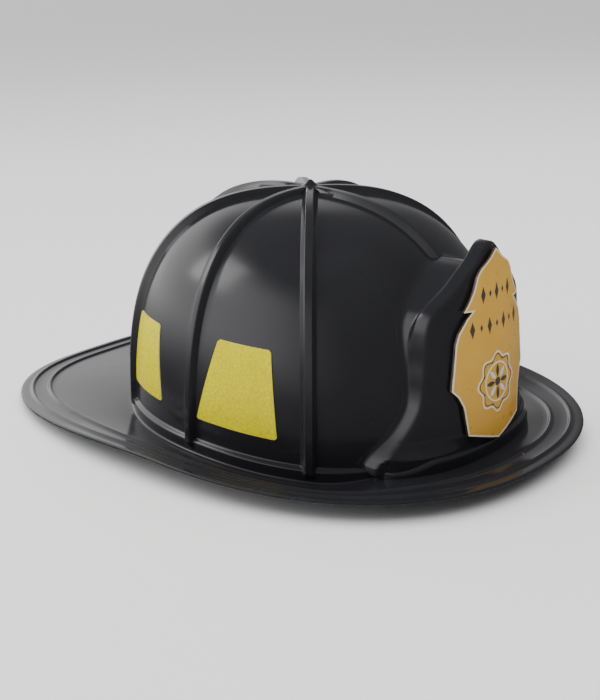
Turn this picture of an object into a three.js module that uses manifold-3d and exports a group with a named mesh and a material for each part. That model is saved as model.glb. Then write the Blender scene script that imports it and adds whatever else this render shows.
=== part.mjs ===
// A fire chief's helmet: an eight-ribbed dome with a wide beaded brim, a tall shield block
// with a front badge, reflective panels, and a cradle with a ratchet that fits it to the head.
// Units are millimetres, +Z is up and the wearer faces -Y. The origin is on the surface that
// the helmet stands on, below the middle of its box.
import * as THREE from 'three';
import { mergeVertices } from 'three/addons/utils/BufferGeometryUtils.js';
import Module from 'manifold-3d';

const wasm = await Module();
wasm.setup();
const { degToRad, lerp, clamp, smoothstep } = THREE.MathUtils;

// Driving dimensions. The shell has a frame of its own: z = 0 is the dome's base plane and the
// crown's axis is x = y = 0. It leans forward by STAND_TILT when it stands on its brim.
const STAND_TILT = degToRad(1.5);
const GAP = 0.3;
const ROOM_FLOOR = -12;

const DOME = { halfWidth: 89.2, halfLength: 112, centreY: -3.1, planPower: 2.26,
  height: 128.3, profilePower: 2.79, wall: 2 };
const RIBS = { azimuths: [-138, -95, -50, 0, 50, 95, 138, 180].map(degToRad),
  halfWidth: 3.5, halfTop: 2.2, height: 4, nub: 3, mergeRadius: 10.5, endLow: 2.5, endHigh: 7 };
const RING = { height: 8, width: 2 };
const BRIM = { centreY: -3.21, halfWidth: 124.1, front: 154.9, frontPower: 2.29, rear: 201.9,
  rearPower: 2.62, sideZ: 9.5, frontZ: 11.5, rearZ: -7.2, rootRise: 7, beads: [17.9, 7.2],
  beadHalf: 1.7, beadHeight: 1.2, edge: 0.8 };
const SHIELD = { radius: 85, frontY: -125.9, lean: 0.06, thickness: 9.6, baseTop: 23.5,
  baseStep: 0.6 };
const HOOD = { back: -78, hollowBack: -72, hollowStep: 0.5, top: 105, tip: 106, columns: 10 };
const LEDGE = { halfWidth: 62, centreY: -94, depth: 33.6, power: 2.8, height: 15.3, tailHeight: 9.5,
  setback: 2.6, bottom: 7, tailBottom: 3.6, tailsFrom: 40, tailsTo: 61, tailY: -93.5, back: -84,
  bevel: 1.4, columns: 24 };
const BADGE = { standoff: 1.5, thickness: 1.2, tapeHalfWidth: 16, tapeLow: 34, tapeHigh: 78 };
const HEADBAND = { halfWidth: 74.9, centreY: -13, halfLength: 90, power: 2.26, thickness: 1.6,
  low: 4, high: 32, end: 24 };
const STRAP = { width: 20, thickness: 1, crossY: -18, shoulder: 34, crossTop: 100, longTop: 101.6,
  rearY: 89.5, rearShoulder: 60, rearEnd: 46, low: 9, power: 2.3 };
const KEY = { width: 14, thickness: 2, plate: 1.6, socketLow: 12, socketHigh: 22, top: 27, bottom: 9,
  frontAzimuth: degToRad(43), rearLift: 38, socketWall: 1.3, socketTuck: 1.2, socketSide: 3 };
const RIVET = { shank: 1.6, head: 3.6, headHeight: 0.6, z: 16 };
const CRADLE = { halfWidth: 76.7, bendY: 42, depth: 41, power: 2.02, wall: 1.3, sleeveFront: 11,
  sleeveBack: 40, sleeveInner: 72.4, travel: 18 };
const HOUSING = { halfWidth: 35.8, low: 2.5, high: 33.5, front: 82, back: 91.5, axisZ: 18,
  cavityHalfWidth: 34.4, cavityHalfHeight: 10.1, cavityFront: 85 };
const GEAR = { teeth: 10, pitchRadius: 5, addendum: 0.8, dedendum: 1.1, play: 0.22, flank: 0.36,
  shaft: 3, front: 85.6, back: 90.2 };
const RACK = { inner: -12, outer: 34, height: 3.2, firstTooth: -3, teeth: 11 };
const COVER = { front: 91.8, back: 93.3, screwX: 30.5, screwInset: 2.7 };
const SCREW = { shank: 1.1, head: 2.1, top: 1.2, headHeight: 1.4, shoulder: 1, length: 7.6 };
const KNOB = { radius: 13, lobes: 12, lobeDepth: 0.8, front: 93.9, back: 99.3, floor: 1.3,
  wellRadius: 2.6, wellDepth: 1.4, shaftEnd: 1.6 };
const KNOB_SCREW = { shank: 1, head: 2.2, headHeight: 1, length: 5.4, sunk: 0.2, hole: 8 };
const PADS = { browOffset: 4.6, browThickness: 3.6, browEnd: 0.16, napeOffset: 4, napeThickness: 4.4,
  napeFrom: degToRad(48), margin: 1, crownRadius: 26, crownThickness: 7, crownEdge: 1.5, crownDrop: 3.6 };

// Half-width of the shield and of the hood behind it, as [height, half-width] from the tails up.
const SHIELD_OUTLINE = [[9.5, 63.6], [10.8, 63.4], [15, 61.3], [18.5, 58.7], [23, 55.2],
  [28.3, 51.5], [35.4, 47.6], [40.7, 45.4], [48, 44], [54.5, 43.5], [63.6, 42.4], [72.7, 42],
  [81.7, 41], [87.4, 38.4], [91.6, 34.2], [95, 29.6], [98.2, 25.4], [101.8, 21.6], [105.4, 18],
  [108.6, 14], [111.6, 10.2], [114.6, 7.6], [117.2, 5], [118.6, 2.4]];
const HOOD_OUTLINE = [[3, 60.5], [8.5, 59.3], [17, 55.8], [24, 51.4], [30.3, 47.4], [36.5, 44.6],
  [43, 43.5], [61, 43], [74, 41.6], [82, 38.7], [88.3, 34.6], [93.2, 28.4], [99.3, 19],
  [105, 8], [106, 2]];
const BADGE_OUTLINE = [[16.6, 1], [23, 22.8], [38.4, 25.3], [44.3, 28.3], [48.4, 32.2],
  [64, 30.2], [71.6, 29.4], [77.4, 27.4], [83.2, 22.9], [87, 18.8], [87.5, 24.2], [93.9, 19.4],
  [100.4, 16.2], [105.8, 13.6], [107.8, 11.4], [109.6, 8.3], [113, 3.5], [115.2, 1]];
// Corners of the reflective panels: azimuths from the front at the top and bottom edges.
const PANELS = {
  side: { top: [62, 83.5], bottom: [59.6, 92.2], low: 20, high: 65.8 },
  rear: { top: [116, 134], bottom: [111.8, 135.4], low: 20.6, high: 62.5 },
};

const MATERIALS = {
  shell: paint(0x0b0b0d, 0.22),
  badge: paint(0xc89b4b, 0.35),
  foam: paint(0x2c2c2e, 0.95),
  reflective: paint(0xd0c01e, 0.4),
  band: paint(0x1b1b1d, 0.5),
  pad: paint(0x3a3a3d, 0.95),
  webbing: paint(0x222224, 0.9),
  steel: paint(0xb8babd, 0.3, 0.9),
  knob: paint(0x141416, 0.45),
  gear: paint(0xe4e2d8, 0.5),
};

const helmet = new THREE.Group();
const shellFrame = new THREE.Group();
shellFrame.rotation.x = STAND_TILT;
helmet.add(shellFrame);
const toShell = new THREE.Matrix4().makeRotationX(-STAND_TILT);

// ---------------------------------------------------------------- shared helpers

function paint(color, roughness, metalness = 0) {
  return new THREE.MeshStandardMaterial({ color, roughness, metalness });
}

function vec(x, y, z) {
  return new THREE.Vector3(x, y, z);
}

function add(name, shape, material, parent = helmet) {
  const mesh = new THREE.Mesh(shape.isBufferGeometry ? shape : geometryOf(shape), material);
  mesh.name = name;
  parent.add(mesh);
  return mesh;
}

// A geometry with only shared positions, no empty triangles, and its faces pointing out.
function clean(source) {
  const bare = new THREE.BufferGeometry();
  bare.setAttribute('position', source.getAttribute('position'));
  if (source.index) bare.setIndex(source.index);
  const merged = mergeVertices(bare, 1e-4);
  const old = merged.index.array;
  const kept = [];
  for (let i = 0; i < old.length; i += 3) {
    const [a, b, c] = [old[i], old[i + 1], old[i + 2]];
    if (a !== b && b !== c && a !== c) kept.push(a, b, c);
  }
  merged.setIndex(volume(merged, kept) < 0 ? kept.reverse() : kept);
  merged.computeVertexNormals();
  return merged;
}

function volume(geometry, index) {
  const position = geometry.getAttribute('position');
  const [a, b, c] = [vec(), vec(), vec()];
  let sum = 0;
  for (let i = 0; i < index.length; i += 3) {
    a.fromBufferAttribute(position, index[i]);
    b.fromBufferAttribute(position, index[i + 1]);
    c.fromBufferAttribute(position, index[i + 2]);
    sum += a.dot(b.cross(c)) / 6;
  }
  return sum;
}

function solid(source) {
  const geometry = clean(source);
  return new wasm.Manifold(new wasm.Mesh({
    numProp: 3,
    vertProperties: new Float32Array(geometry.getAttribute('position').array),
    triVerts: new Uint32Array(geometry.index.array),
  }));
}

function geometryOf(manifold) {
  const mesh = manifold.getMesh();
  const geometry = new THREE.BufferGeometry();
  geometry.setAttribute('position', new THREE.BufferAttribute(mesh.vertProperties, 3));
  geometry.setIndex(new THREE.BufferAttribute(mesh.triVerts, 1));
  geometry.computeVertexNormals();
  return geometry;
}

// A closed skin over loops of equal length. Its ends are closed by strips that pair the first
// point of a loop with its last, the second with the last but one, and so on.
function loft(loops) {
  const count = loops[0].length;
  const index = [];
  for (let i = 0; i + 1 < loops.length; i++) {
    for (let j = 0; j < count; j++) {
      const [a, b] = [i * count + j, i * count + (j + 1) % count];
      index.push(a, b, a + count, b, b + count, a + count);
    }
  }
  for (const [start, flip] of [[0, true], [(loops.length - 1) * count, false]]) {
    for (let j = 0; j + 1 < count / 2; j++) {
      const [a, b, c, d] = [j, j + 1, count - 2 - j, count - 1 - j].map((k) => start + k);
      index.push(...(flip ? [a, c, b, a, d, c] : [a, b, c, a, c, d]));
    }
  }
  const geometry = new THREE.BufferGeometry().setFromPoints(loops.flat());
  geometry.setIndex(index);
  return clean(geometry);
}

// A strip along a flat path, placed by a function of its path coordinates and its width.
function ribbon(path, thickness, low, high, place) {
  const loops = path.map((point, i) => {
    const before = path[Math.max(i - 1, 0)];
    const after = path[Math.min(i + 1, path.length - 1)];
    const across = after.clone().sub(before).normalize().multiplyScalar(thickness / 2);
    const [u, v] = [across.y, -across.x];
    return [place(point.x + u, point.y + v, low), place(point.x + u, point.y + v, high),
      place(point.x - u, point.y - v, high), place(point.x - u, point.y - v, low)];
  });
  return loft(loops);
}

function box(low, high) {
  const size = high.map((value, i) => value - low[i]);
  const middle = high.map((value, i) => (value + low[i]) / 2);
  return new THREE.BoxGeometry(...size).translate(...middle);
}

// A cylinder between two points.
function rod(radius, from, to, sides = 12) {
  const axis = to.clone().sub(from);
  const geometry = new THREE.CylinderGeometry(radius, radius, axis.length(), sides);
  const turn = new THREE.Quaternion().setFromUnitVectors(vec(0, 1, 0), axis.clone().normalize());
  return geometry.applyQuaternion(turn).translate(...from.clone().add(to).divideScalar(2));
}

// A turned piece whose profile of [radius, distance] pairs starts at a point, along an axis.
function turned(profile, from, axis, sides = 10) {
  const points = profile.map(([r, d]) => new THREE.Vector2(r, d));
  const turn = new THREE.Quaternion().setFromUnitVectors(vec(0, 1, 0), axis);
  return clean(new THREE.LatheGeometry(points, sides).applyQuaternion(turn).translate(...from));
}

function along(table, height) {
  const last = table.length - 1;
  if (height <= table[0][0]) return table[0][1];
  if (height >= table[last][0]) return table[last][1];
  const i = table.findIndex(([z]) => z > height);
  const [[z0, w0], [z1, w1]] = [table[i - 1], table[i]];
  return lerp(w0, w1, (height - z0) / (z1 - z0));
}

function arcPoints(centre, halfX, halfY, power, from, to, count) {
  return Array.from({ length: count + 1 }, (_, i) => {
    const angle = lerp(from, to, i / count);
    const [c, s] = [Math.cos(angle), Math.sin(angle)];
    return new THREE.Vector2(centre.x + halfX * Math.sign(c) * Math.abs(c) ** (2 / power),
      centre.y + halfY * Math.sign(s) * Math.abs(s) ** (2 / power));
  });
}

// ---------------------------------------------------------------- shell

// Distance from the crown's axis to the dome's base outline, at an azimuth from the front.
function planRadius(azimuth, inset = 0) {
  const [dx, dy] = [Math.sin(azimuth), -Math.cos(azimuth)];
  let [low, high] = [0, 2 * DOME.halfLength];
  for (let i = 0; i < 40; i++) {
    const r = (low + high) / 2;
    const x = Math.abs(r * dx) / (DOME.halfWidth - inset);
    const y = Math.abs(r * dy - DOME.centreY) / (DOME.halfLength - inset);
    if (x ** DOME.planPower + y ** DOME.planPower < 1) low = r;
    else high = r;
  }
  return low;
}

// Share of the base outline's radius that the dome still has at a height.
function profile(height, inset = 0) {
  const h = clamp(height / (DOME.height - inset), 0, 1);
  return (1 - h ** DOME.profilePower) ** (1 / DOME.profilePower);
}

function domeHeight(share, inset = 0) {
  return (DOME.height - inset) * (1 - share ** DOME.profilePower) ** (1 / DOME.profilePower);
}

function polar(radius, azimuth, z) {
  return vec(radius * Math.sin(azimuth), -radius * Math.cos(azimuth), z);
}

// Azimuths round the dome at a radius: each rib has two feet and two shoulders, and the panel
// after it three columns more. lift is 1 on a rib's shoulders.
function columnsAt(radius) {
  const columns = [];
  RIBS.azimuths.forEach((centre, i) => {
    const next = RIBS.azimuths[(i + 1) % RIBS.azimuths.length];
    const step = (next - centre + 2 * Math.PI) % (2 * Math.PI);
    const foot = Math.min(Math.atan2(RIBS.halfWidth, radius), degToRad(20));
    const shoulder = foot * RIBS.halfTop / RIBS.halfWidth;
    columns.push([centre - foot, 0], [centre - shoulder, 1], [centre + shoulder, 1]);
    for (const share of [0, 0.25, 0.5, 0.75]) {
      columns.push([centre + foot + share * (step - 2 * foot), 0]);
    }
  });
  return columns;
}

function domeRow(share) {
  const middle = DOME.halfWidth * share;
  const z = domeHeight(share);
  const fade = smoothstep(z, RIBS.endLow, RIBS.endHigh);
  const valley = 1 - smoothstep(middle, RIBS.mergeRadius / 3, RIBS.mergeRadius);
  const slope = Math.atan2(share ** (DOME.profilePower - 1) / DOME.halfWidth,
    (z / DOME.height) ** (DOME.profilePower - 1) / DOME.height);
  return columnsAt(middle).map(([azimuth, lift]) => {
    const rise = RIBS.height * fade * Math.max(lift, valley);
    return polar(planRadius(azimuth) * share + rise * Math.sin(slope), azimuth,
      z + rise * Math.cos(slope));
  });
}

// The brim's root rises in front of the shield.
function rootRise(azimuth) {
  const turn = Math.abs(Math.atan2(Math.sin(azimuth), Math.cos(azimuth)));
  return BRIM.rootRise * (1 - smoothstep(turn, degToRad(22), degToRad(48)));
}

function brimEdge(azimuth) {
  const [c, s] = [Math.cos(azimuth), Math.sin(azimuth)];
  const [length, power, tipZ] = c > 0
    ? [BRIM.front, BRIM.frontPower, BRIM.frontZ] : [BRIM.rear, BRIM.rearPower, BRIM.rearZ];
  const reach = ((Math.abs(s) / BRIM.halfWidth) ** power + (Math.abs(c) / length) ** power)
    ** (-1 / power);
  return vec(reach * s, BRIM.centreY - reach * c, lerp(BRIM.sideZ, tipZ, c * c));
}

function outerRows() {
  const shares = [0.04, 0.08, 0.12, 0.2, 0.31, 0.43, 0.55, 0.66, 0.75, 0.83, 0.895, 0.945, 0.98,
    0.995];
  const rows = [columnsAt(1).map(() => vec(0, 0, DOME.height + RIBS.height + RIBS.nub))];
  return rows.concat(shares.map(domeRow));
}

// The base ring and the brim's top, out to its edge.
function brimRows() {
  const columns = columnsAt(DOME.halfWidth);
  const ring = [[0, RING.height], [RING.width * 0.7, RING.height - 0.6],
    [RING.width, RING.height - 2], [RING.width, 0]];
  const rows = ring.map(([out, z]) => columns.map(([azimuth]) => (
    polar(planRadius(azimuth) + out, azimuth, z + rootRise(azimuth)))));
  const marks = BRIM.beads.flatMap((bead) => [[bead + BRIM.beadHalf, 0],
    [bead, BRIM.beadHeight], [bead - BRIM.beadHalf, 0]]);
  for (const [inset, lift] of [...marks, [BRIM.edge, 0], [0, -DOME.wall / 2]]) {
    rows.push(rows[ring.length - 1].map((root, i) => {
      const edge = brimEdge(columns[i][0]);
      const point = edge.clone().lerp(root, inset / edge.distanceTo(root));
      return point.setZ(point.z + lift);
    }));
  }
  return rows;
}

// The dome's lining surface, up to the crown.
function liningRows(inset) {
  const columns = columnsAt(DOME.halfWidth);
  const shares = [0.995, 0.97, 0.92, 0.84, 0.73, 0.58, 0.4, 0.2];
  const dome = shares.map((share) => columns.map(([azimuth]) => (
    polar(planRadius(azimuth, inset) * share, azimuth, domeHeight(share, inset)))));
  return [...dome, columns.map(() => vec(0, 0, DOME.height - inset))];
}

// The brim's underside and the lining above it.
function innerRows() {
  const columns = columnsAt(DOME.halfWidth);
  const root = columns.map(([azimuth]) => polar(planRadius(azimuth, DOME.wall), azimuth,
    rootRise(azimuth) - DOME.wall));
  const lip = columns.map(([azimuth], i) => {
    const edge = brimEdge(azimuth);
    const point = edge.clone().lerp(root[i], BRIM.edge / edge.distanceTo(root[i]));
    return point.setZ(edge.z - DOME.wall);
  });
  return [lip, root, ...liningRows(DOME.wall)];
}

// The room inside the dome, which trims the blocks that join it: its side is inside the wall.
function room() {
  const inset = DOME.wall * 0.75;
  const foot = columnsAt(DOME.halfWidth).map(([azimuth]) => (
    polar(planRadius(azimuth, inset), azimuth, ROOM_FLOOR)));
  return loft([foot.map(() => vec(0, 0, ROOM_FLOOR)), foot, ...liningRows(inset)]);
}

// The shield's face is part of a cylinder that leans back a little.
function faceY(x, z, radius = SHIELD.radius) {
  return SHIELD.frontY + SHIELD.radius + SHIELD.lean * z - Math.sqrt(radius ** 2 - x ** 2);
}

function ledgeY(x) {
  const across = Math.min(Math.abs(x) / LEDGE.halfWidth, 1);
  return LEDGE.centreY - LEDGE.depth * (1 - across ** LEDGE.power) ** (1 / LEDGE.power);
}

// Below its base line the face steps out and then flares towards the ledge.
function shieldY(x, z) {
  if (z >= SHIELD.baseTop) return faceY(x, z);
  const share = clamp((SHIELD.baseTop - z) / (SHIELD.baseTop - LEDGE.height - 1), 0, 1);
  const target = Math.min(faceY(x, z), ledgeY(x) + LEDGE.setback);
  return lerp(faceY(x, SHIELD.baseTop) - SHIELD.baseStep, target, share ** 2);
}

// A slab between a front and a back surface, with its half-width given by an outline.
function slab(levels, outline, columns, front, back, inset = 0) {
  return loft(levels.map((z) => {
    const half = Math.max(along(outline, z) - inset, 0.5);
    const xs = Array.from({ length: columns + 1 }, (_, i) => half * (2 * i / columns - 1));
    return [...xs.map((x) => vec(x, front(x, z), z)),
      ...xs.reverse().map((x) => vec(x, back(x, z), z))];
  }));
}

function shieldPlate() {
  const base = [SHIELD.baseTop, SHIELD.baseTop - 0.01, 20.5, 18, 16.3, LEDGE.tailHeight];
  const levels = SHIELD_OUTLINE.map(([z]) => z).filter((z) => z > SHIELD.baseTop);
  const back = (x, z) => faceY(x, z) + SHIELD.thickness;
  return slab([...base.reverse(), ...levels], SHIELD_OUTLINE, 10, shieldY, back);
}

// The hood joins the shield to the dome. Its hollow is open to the dome and below.
function hood(inset) {
  const levels = HOOD_OUTLINE.map(([z]) => z).filter((z) => z < HOOD.top - inset);
  const ends = inset ? [ROOM_FLOOR, ...levels] : [...levels, HOOD.top, HOOD.tip];
  const depth = inset ? inset + HOOD.hollowStep : SHIELD.thickness / 3;
  const front = (x, z) => faceY(x, Math.max(z, 0)) + depth;
  const back = () => (inset ? HOOD.hollowBack : HOOD.back);
  return slab(ends, HOOD_OUTLINE, HOOD.columns, front, back, inset);
}

// The low step that carries the base ring round the front of the shield.
function ledge(inset) {
  const half = LEDGE.halfWidth - 0.5 - inset;
  const { columns, tailsFrom, tailsTo, back } = LEDGE;
  const turns = Array.from({ length: columns + 1 }, (_, i) => (i / columns - 0.5) * Math.PI);
  return loft(turns.map((turn) => {
    const x = half * Math.sin(turn);
    const tail = smoothstep(Math.abs(x), tailsFrom, tailsTo);
    const top = lerp(LEDGE.height, LEDGE.tailHeight, tail) - inset;
    const low = inset ? ROOM_FLOOR : lerp(LEDGE.bottom, LEDGE.tailBottom, tail);
    const y = Math.min(ledgeY(x * (LEDGE.halfWidth / half)) + inset, LEDGE.tailY);
    const bevel = inset ? 0.2 : LEDGE.bevel;
    return [vec(x, y, low), vec(x, y, top - bevel), vec(x, y + bevel, top), vec(x, back, top),
      vec(x, back, top - bevel), vec(x, back, low)];
  }));
}

function buildShell() {
  let shell = solid(loft([...outerRows(), ...brimRows(), ...innerRows()]));
  const inside = solid(room());
  for (const block of [shieldPlate(), hood(0), ledge(0)]) {
    shell = shell.add(solid(block).subtract(inside));
  }
  for (const hollow of [hood(DOME.wall), ledge(DOME.wall)]) shell = shell.subtract(solid(hollow));
  for (const station of keyStations()) {
    shell = shell.add(solid(socket(station, false)).subtract(solid(socket(station, true))));
  }
  return shell;
}

// ---------------------------------------------------------------- badge and panels

function badge() {
  const back = SHIELD.radius + BADGE.standoff;
  return slab(BADGE_OUTLINE.map(([z]) => z), BADGE_OUTLINE, 6,
    (x, z) => faceY(x, z, back + BADGE.thickness), (x, z) => faceY(x, z, back));
}

function badgeTape() {
  const { tapeHalfWidth, tapeLow, tapeHigh } = BADGE;
  const outline = [[tapeLow, tapeHalfWidth], [tapeHigh, tapeHalfWidth]];
  const radius = SHIELD.radius + GAP;
  return slab([tapeLow, (tapeLow + tapeHigh) / 2, tapeHigh], outline, 6,
    (x, z) => faceY(x, z, radius + BADGE.standoff - 2 * GAP), (x, z) => faceY(x, z, radius));
}

// A thin panel that follows the dome.
function panel({ top, bottom, low, high }, side) {
  const [rows, columns] = [4, 6];
  const skin = (out) => (i, j) => {
    const z = lerp(low, high, i / rows);
    const [start, end] = [lerp(bottom[0], top[0], i / rows), lerp(bottom[1], top[1], i / rows)];
    const azimuth = side * degToRad(lerp(start, end, j / columns));
    return polar(planRadius(azimuth) * profile(z) + out, azimuth, z);
  };
  const [outer, inner] = [skin(2.1 * GAP), skin(GAP)];
  return loft(Array.from({ length: rows + 1 }, (_, i) => {
    const steps = Array.from({ length: columns + 1 }, (_, j) => j);
    return [...steps.map((j) => outer(i, j)), ...steps.reverse().map((j) => inner(i, j))];
  }));
}

// ---------------------------------------------------------------- headband and its keys

// The headband's centre line, from its right end round the brow to its left end.
function bandPath(offset = 0, from = Math.PI, to = 2 * Math.PI, count = 36) {
  const centre = new THREE.Vector2(0, HEADBAND.centreY);
  return arcPoints(centre, HEADBAND.halfWidth - offset, HEADBAND.halfLength - offset,
    HEADBAND.power, from, to, count);
}

// The band's centre point and outward direction at an azimuth from the front.
function bandStation(azimuth) {
  const angle = azimuth - Math.PI / 2;
  const [before, point, after] = bandPath(0, angle - 0.02, angle + 0.02, 2);
  const along = after.clone().sub(before).normalize();
  return { point, out: vec(along.y, -along.x, 0) };
}

// Whether a point of the standing helmet is inside the dome's lining surface.
function insideDome(point) {
  const p = point.clone().applyMatrix4(toShell);
  const azimuth = Math.atan2(p.x, -p.y);
  return Math.hypot(p.x, p.y) < planRadius(azimuth, DOME.wall) * profile(p.z, DOME.wall);
}

// Distance from a point to the dome's wall.
function wallDistance(from, out) {
  let [low, high] = [0, 40];
  for (let i = 0; i < 30; i++) {
    const middle = (low + high) / 2;
    if (insideDome(from.clone().addScaledVector(out, middle))) low = middle;
    else high = middle;
  }
  return low;
}

// Where a key hangs: its origin is on the outer face of what it holds, at zero height.
function station(point, out, lift, strap) {
  const standoff = strap ? STRAP.thickness + 2 * GAP : GAP;
  const origin = vec(point.x, point.y, 0).addScaledVector(out, standoff);
  const [wall, tongue] = [KEY.socketHigh, KEY.top]
    .map((z) => wallDistance(origin.clone().setZ(z + lift), out));
  return { origin, out, lift, wall, tongue: tongue - KEY.plate - KEY.thickness, strap };
}

function keyStations() {
  const half = HEADBAND.thickness / 2;
  const front = (azimuth) => {
    const { point, out } = bandStation(azimuth);
    return station(vec(point.x, point.y, 0).addScaledVector(out, half), out, 0, false);
  };
  const side = (way) => station(vec(way * (HEADBAND.halfWidth + half), STRAP.crossY, 0),
    vec(way, 0, 0), 0, true);
  const rear = vec(0, STRAP.rearY + STRAP.thickness / 2, 0);
  return [front(-KEY.frontAzimuth), front(KEY.frontAzimuth), side(-1), side(1),
    station(rear, vec(0, 1, 0), KEY.rearLift, false)];
}

function extrudeAt({ origin, out, lift }, outline, width) {
  const shape = new THREE.Shape(outline.map(([d, z]) => new THREE.Vector2(d, z + lift)));
  const geometry = new THREE.ExtrudeGeometry(shape, { depth: width, bevelEnabled: false });
  const up = vec(0, 0, 1);
  const side = out.clone().cross(up);
  geometry.translate(0, 0, -width / 2);
  return geometry.applyMatrix4(new THREE.Matrix4().makeBasis(out, up, side).setPosition(origin));
}

// The socket on the dome's wall, or the slot through it.
function socket(at, slot) {
  const [inner, outer] = slot ? [at.tongue - GAP, at.tongue + KEY.thickness + GAP]
    : [at.tongue - GAP - KEY.socketWall, at.wall + KEY.socketTuck];
  const past = slot ? 2 : 0;
  const [low, high] = [KEY.socketLow - past, KEY.socketHigh + past];
  const width = KEY.width + 2 * (slot ? GAP : KEY.socketSide);
  const outline = [[inner, low], [outer, low], [outer, high], [inner, high]];
  return clean(extrudeAt(at, outline, width)).applyMatrix4(toShell);
}

function hangerKey(at) {
  const { plate, thickness, top } = KEY;
  const [tongue, back, arm] = [at.tongue, at.tongue + thickness, top - thickness];
  const outline = [[0, KEY.bottom], [plate, KEY.bottom], [plate, arm], [tongue, arm],
    [tongue, KEY.bottom], [back, KEY.bottom], [back, top], [0, top]];
  const key = solid(clean(extrudeAt(at, outline, KEY.width)));
  return key.subtract(solid(rivetHole(at)));
}

function rivetHole({ origin, out, lift }) {
  const middle = origin.clone().setZ(RIVET.z + lift);
  const reach = 5;
  return rod(RIVET.shank + GAP, middle.clone().addScaledVector(out, -reach),
    middle.clone().addScaledVector(out, reach));
}

// A rivet with a head on each side of a stack that starts at `inner` and ends at `outer`.
function rivet(origin, out, inner, outer) {
  const { shank, head, headHeight } = RIVET;
  const [low, high] = [inner - GAP, outer + GAP];
  return turned([[0, low - headHeight], [head, low - headHeight], [head, low], [shank, low],
    [shank, high], [head, high], [head, high + headHeight], [0, high + headHeight]], origin, out);
}

function keyRivet(at) {
  const band = at.lift ? 0 : HEADBAND.thickness;
  const inner = at.lift ? -GAP - STRAP.thickness
    : -band - GAP - (at.strap ? STRAP.thickness + GAP : 0);
  return rivet(at.origin.clone().setZ(RIVET.z + at.lift), at.out, inner, KEY.plate);
}

function headband(stations) {
  const ends = (side) => new THREE.Vector2(side * HEADBAND.halfWidth, HEADBAND.end);
  const path = [ends(-1), ...bandPath(), ends(1)];
  let band = solid(ribbon(path, HEADBAND.thickness, HEADBAND.low, HEADBAND.high, vec));
  for (const at of stations.filter(({ lift }) => !lift)) band = band.subtract(solid(rivetHole(at)));
  return band.subtract(solid(rivetHole(browStation())));
}

function browStation() {
  const y = HEADBAND.centreY - HEADBAND.halfLength - HEADBAND.thickness / 2;
  return { origin: vec(0, y, 0), out: vec(0, -1, 0), lift: 0 };
}

// ---------------------------------------------------------------- crown straps

function crossStrap(stations) {
  const side = stations[3];
  const half = side.origin.x - GAP - STRAP.thickness / 2;
  const centre = new THREE.Vector2(0, STRAP.shoulder);
  const rise = STRAP.crossTop - STRAP.shoulder;
  const arc = arcPoints(centre, half, rise, STRAP.power, 0, Math.PI, 22);
  const path = [new THREE.Vector2(half, STRAP.low), ...arc, new THREE.Vector2(-half, STRAP.low)];
  const [low, high] = [STRAP.crossY - STRAP.width / 2, STRAP.crossY + STRAP.width / 2];
  let strap = solid(ribbon(path, STRAP.thickness, low, high, (x, z, y) => vec(x, y, z)));
  for (const at of [stations[2], stations[3], crownStation()]) {
    strap = strap.subtract(solid(at.hole || rivetHole(at)));
  }
  return strap;
}

function longStrap(stations) {
  const front = HEADBAND.centreY - HEADBAND.halfLength - HEADBAND.thickness / 2 - GAP
    - STRAP.thickness / 2;
  const quarter = Math.PI / 2;
  const rise = STRAP.longTop - STRAP.shoulder;
  const fore = arcPoints(new THREE.Vector2(STRAP.crossY, STRAP.shoulder), STRAP.crossY - front,
    rise, STRAP.power, Math.PI, quarter, 12);
  const aft = arcPoints(new THREE.Vector2(STRAP.crossY, STRAP.rearShoulder),
    STRAP.rearY - STRAP.crossY, STRAP.longTop - STRAP.rearShoulder, STRAP.power, quarter, 0, 12);
  const path = [new THREE.Vector2(front, STRAP.low), ...fore, ...aft.slice(1),
    new THREE.Vector2(STRAP.rearY, STRAP.rearEnd)];
  const half = STRAP.width / 2;
  let strap = solid(ribbon(path, STRAP.thickness, -half, half, (y, z, x) => vec(x, y, z)));
  for (const at of [browStation(), stations[4], crownStation()]) {
    strap = strap.subtract(solid(at.hole || rivetHole(at)));
  }
  return strap;
}

function crownStation() {
  const middle = vec(0, STRAP.crossY, STRAP.crossTop);
  const reach = vec(0, 0, 6);
  const hole = rod(RIVET.shank + GAP, middle.clone().sub(reach), middle.clone().add(reach));
  return { middle, hole };
}

function crownPad() {
  const [radius, thickness, edge] = [PADS.crownRadius, PADS.crownThickness, PADS.crownEdge];
  const top = STRAP.crossTop - PADS.crownDrop;
  const profilePoints = [[0, 0], [radius - edge, 0], [radius, edge], [radius, thickness - edge],
    [radius - edge, thickness], [0, thickness]];
  return turned(profilePoints, vec(0, STRAP.crossY, top - thickness), vec(0, 0, 1), 24);
}

// ---------------------------------------------------------------- nape cradle

function cradlePath(count, from = 0, to = Math.PI) {
  const centre = new THREE.Vector2(0, CRADLE.bendY);
  return arcPoints(centre, CRADLE.halfWidth, CRADLE.depth, CRADLE.power, from, to, count);
}

function screwPoints() {
  const { low, high } = HOUSING;
  return [-1, 1].flatMap((side) => [low + COVER.screwInset, high - COVER.screwInset]
    .map((z) => vec(side * COVER.screwX, 0, z)));
}

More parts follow.
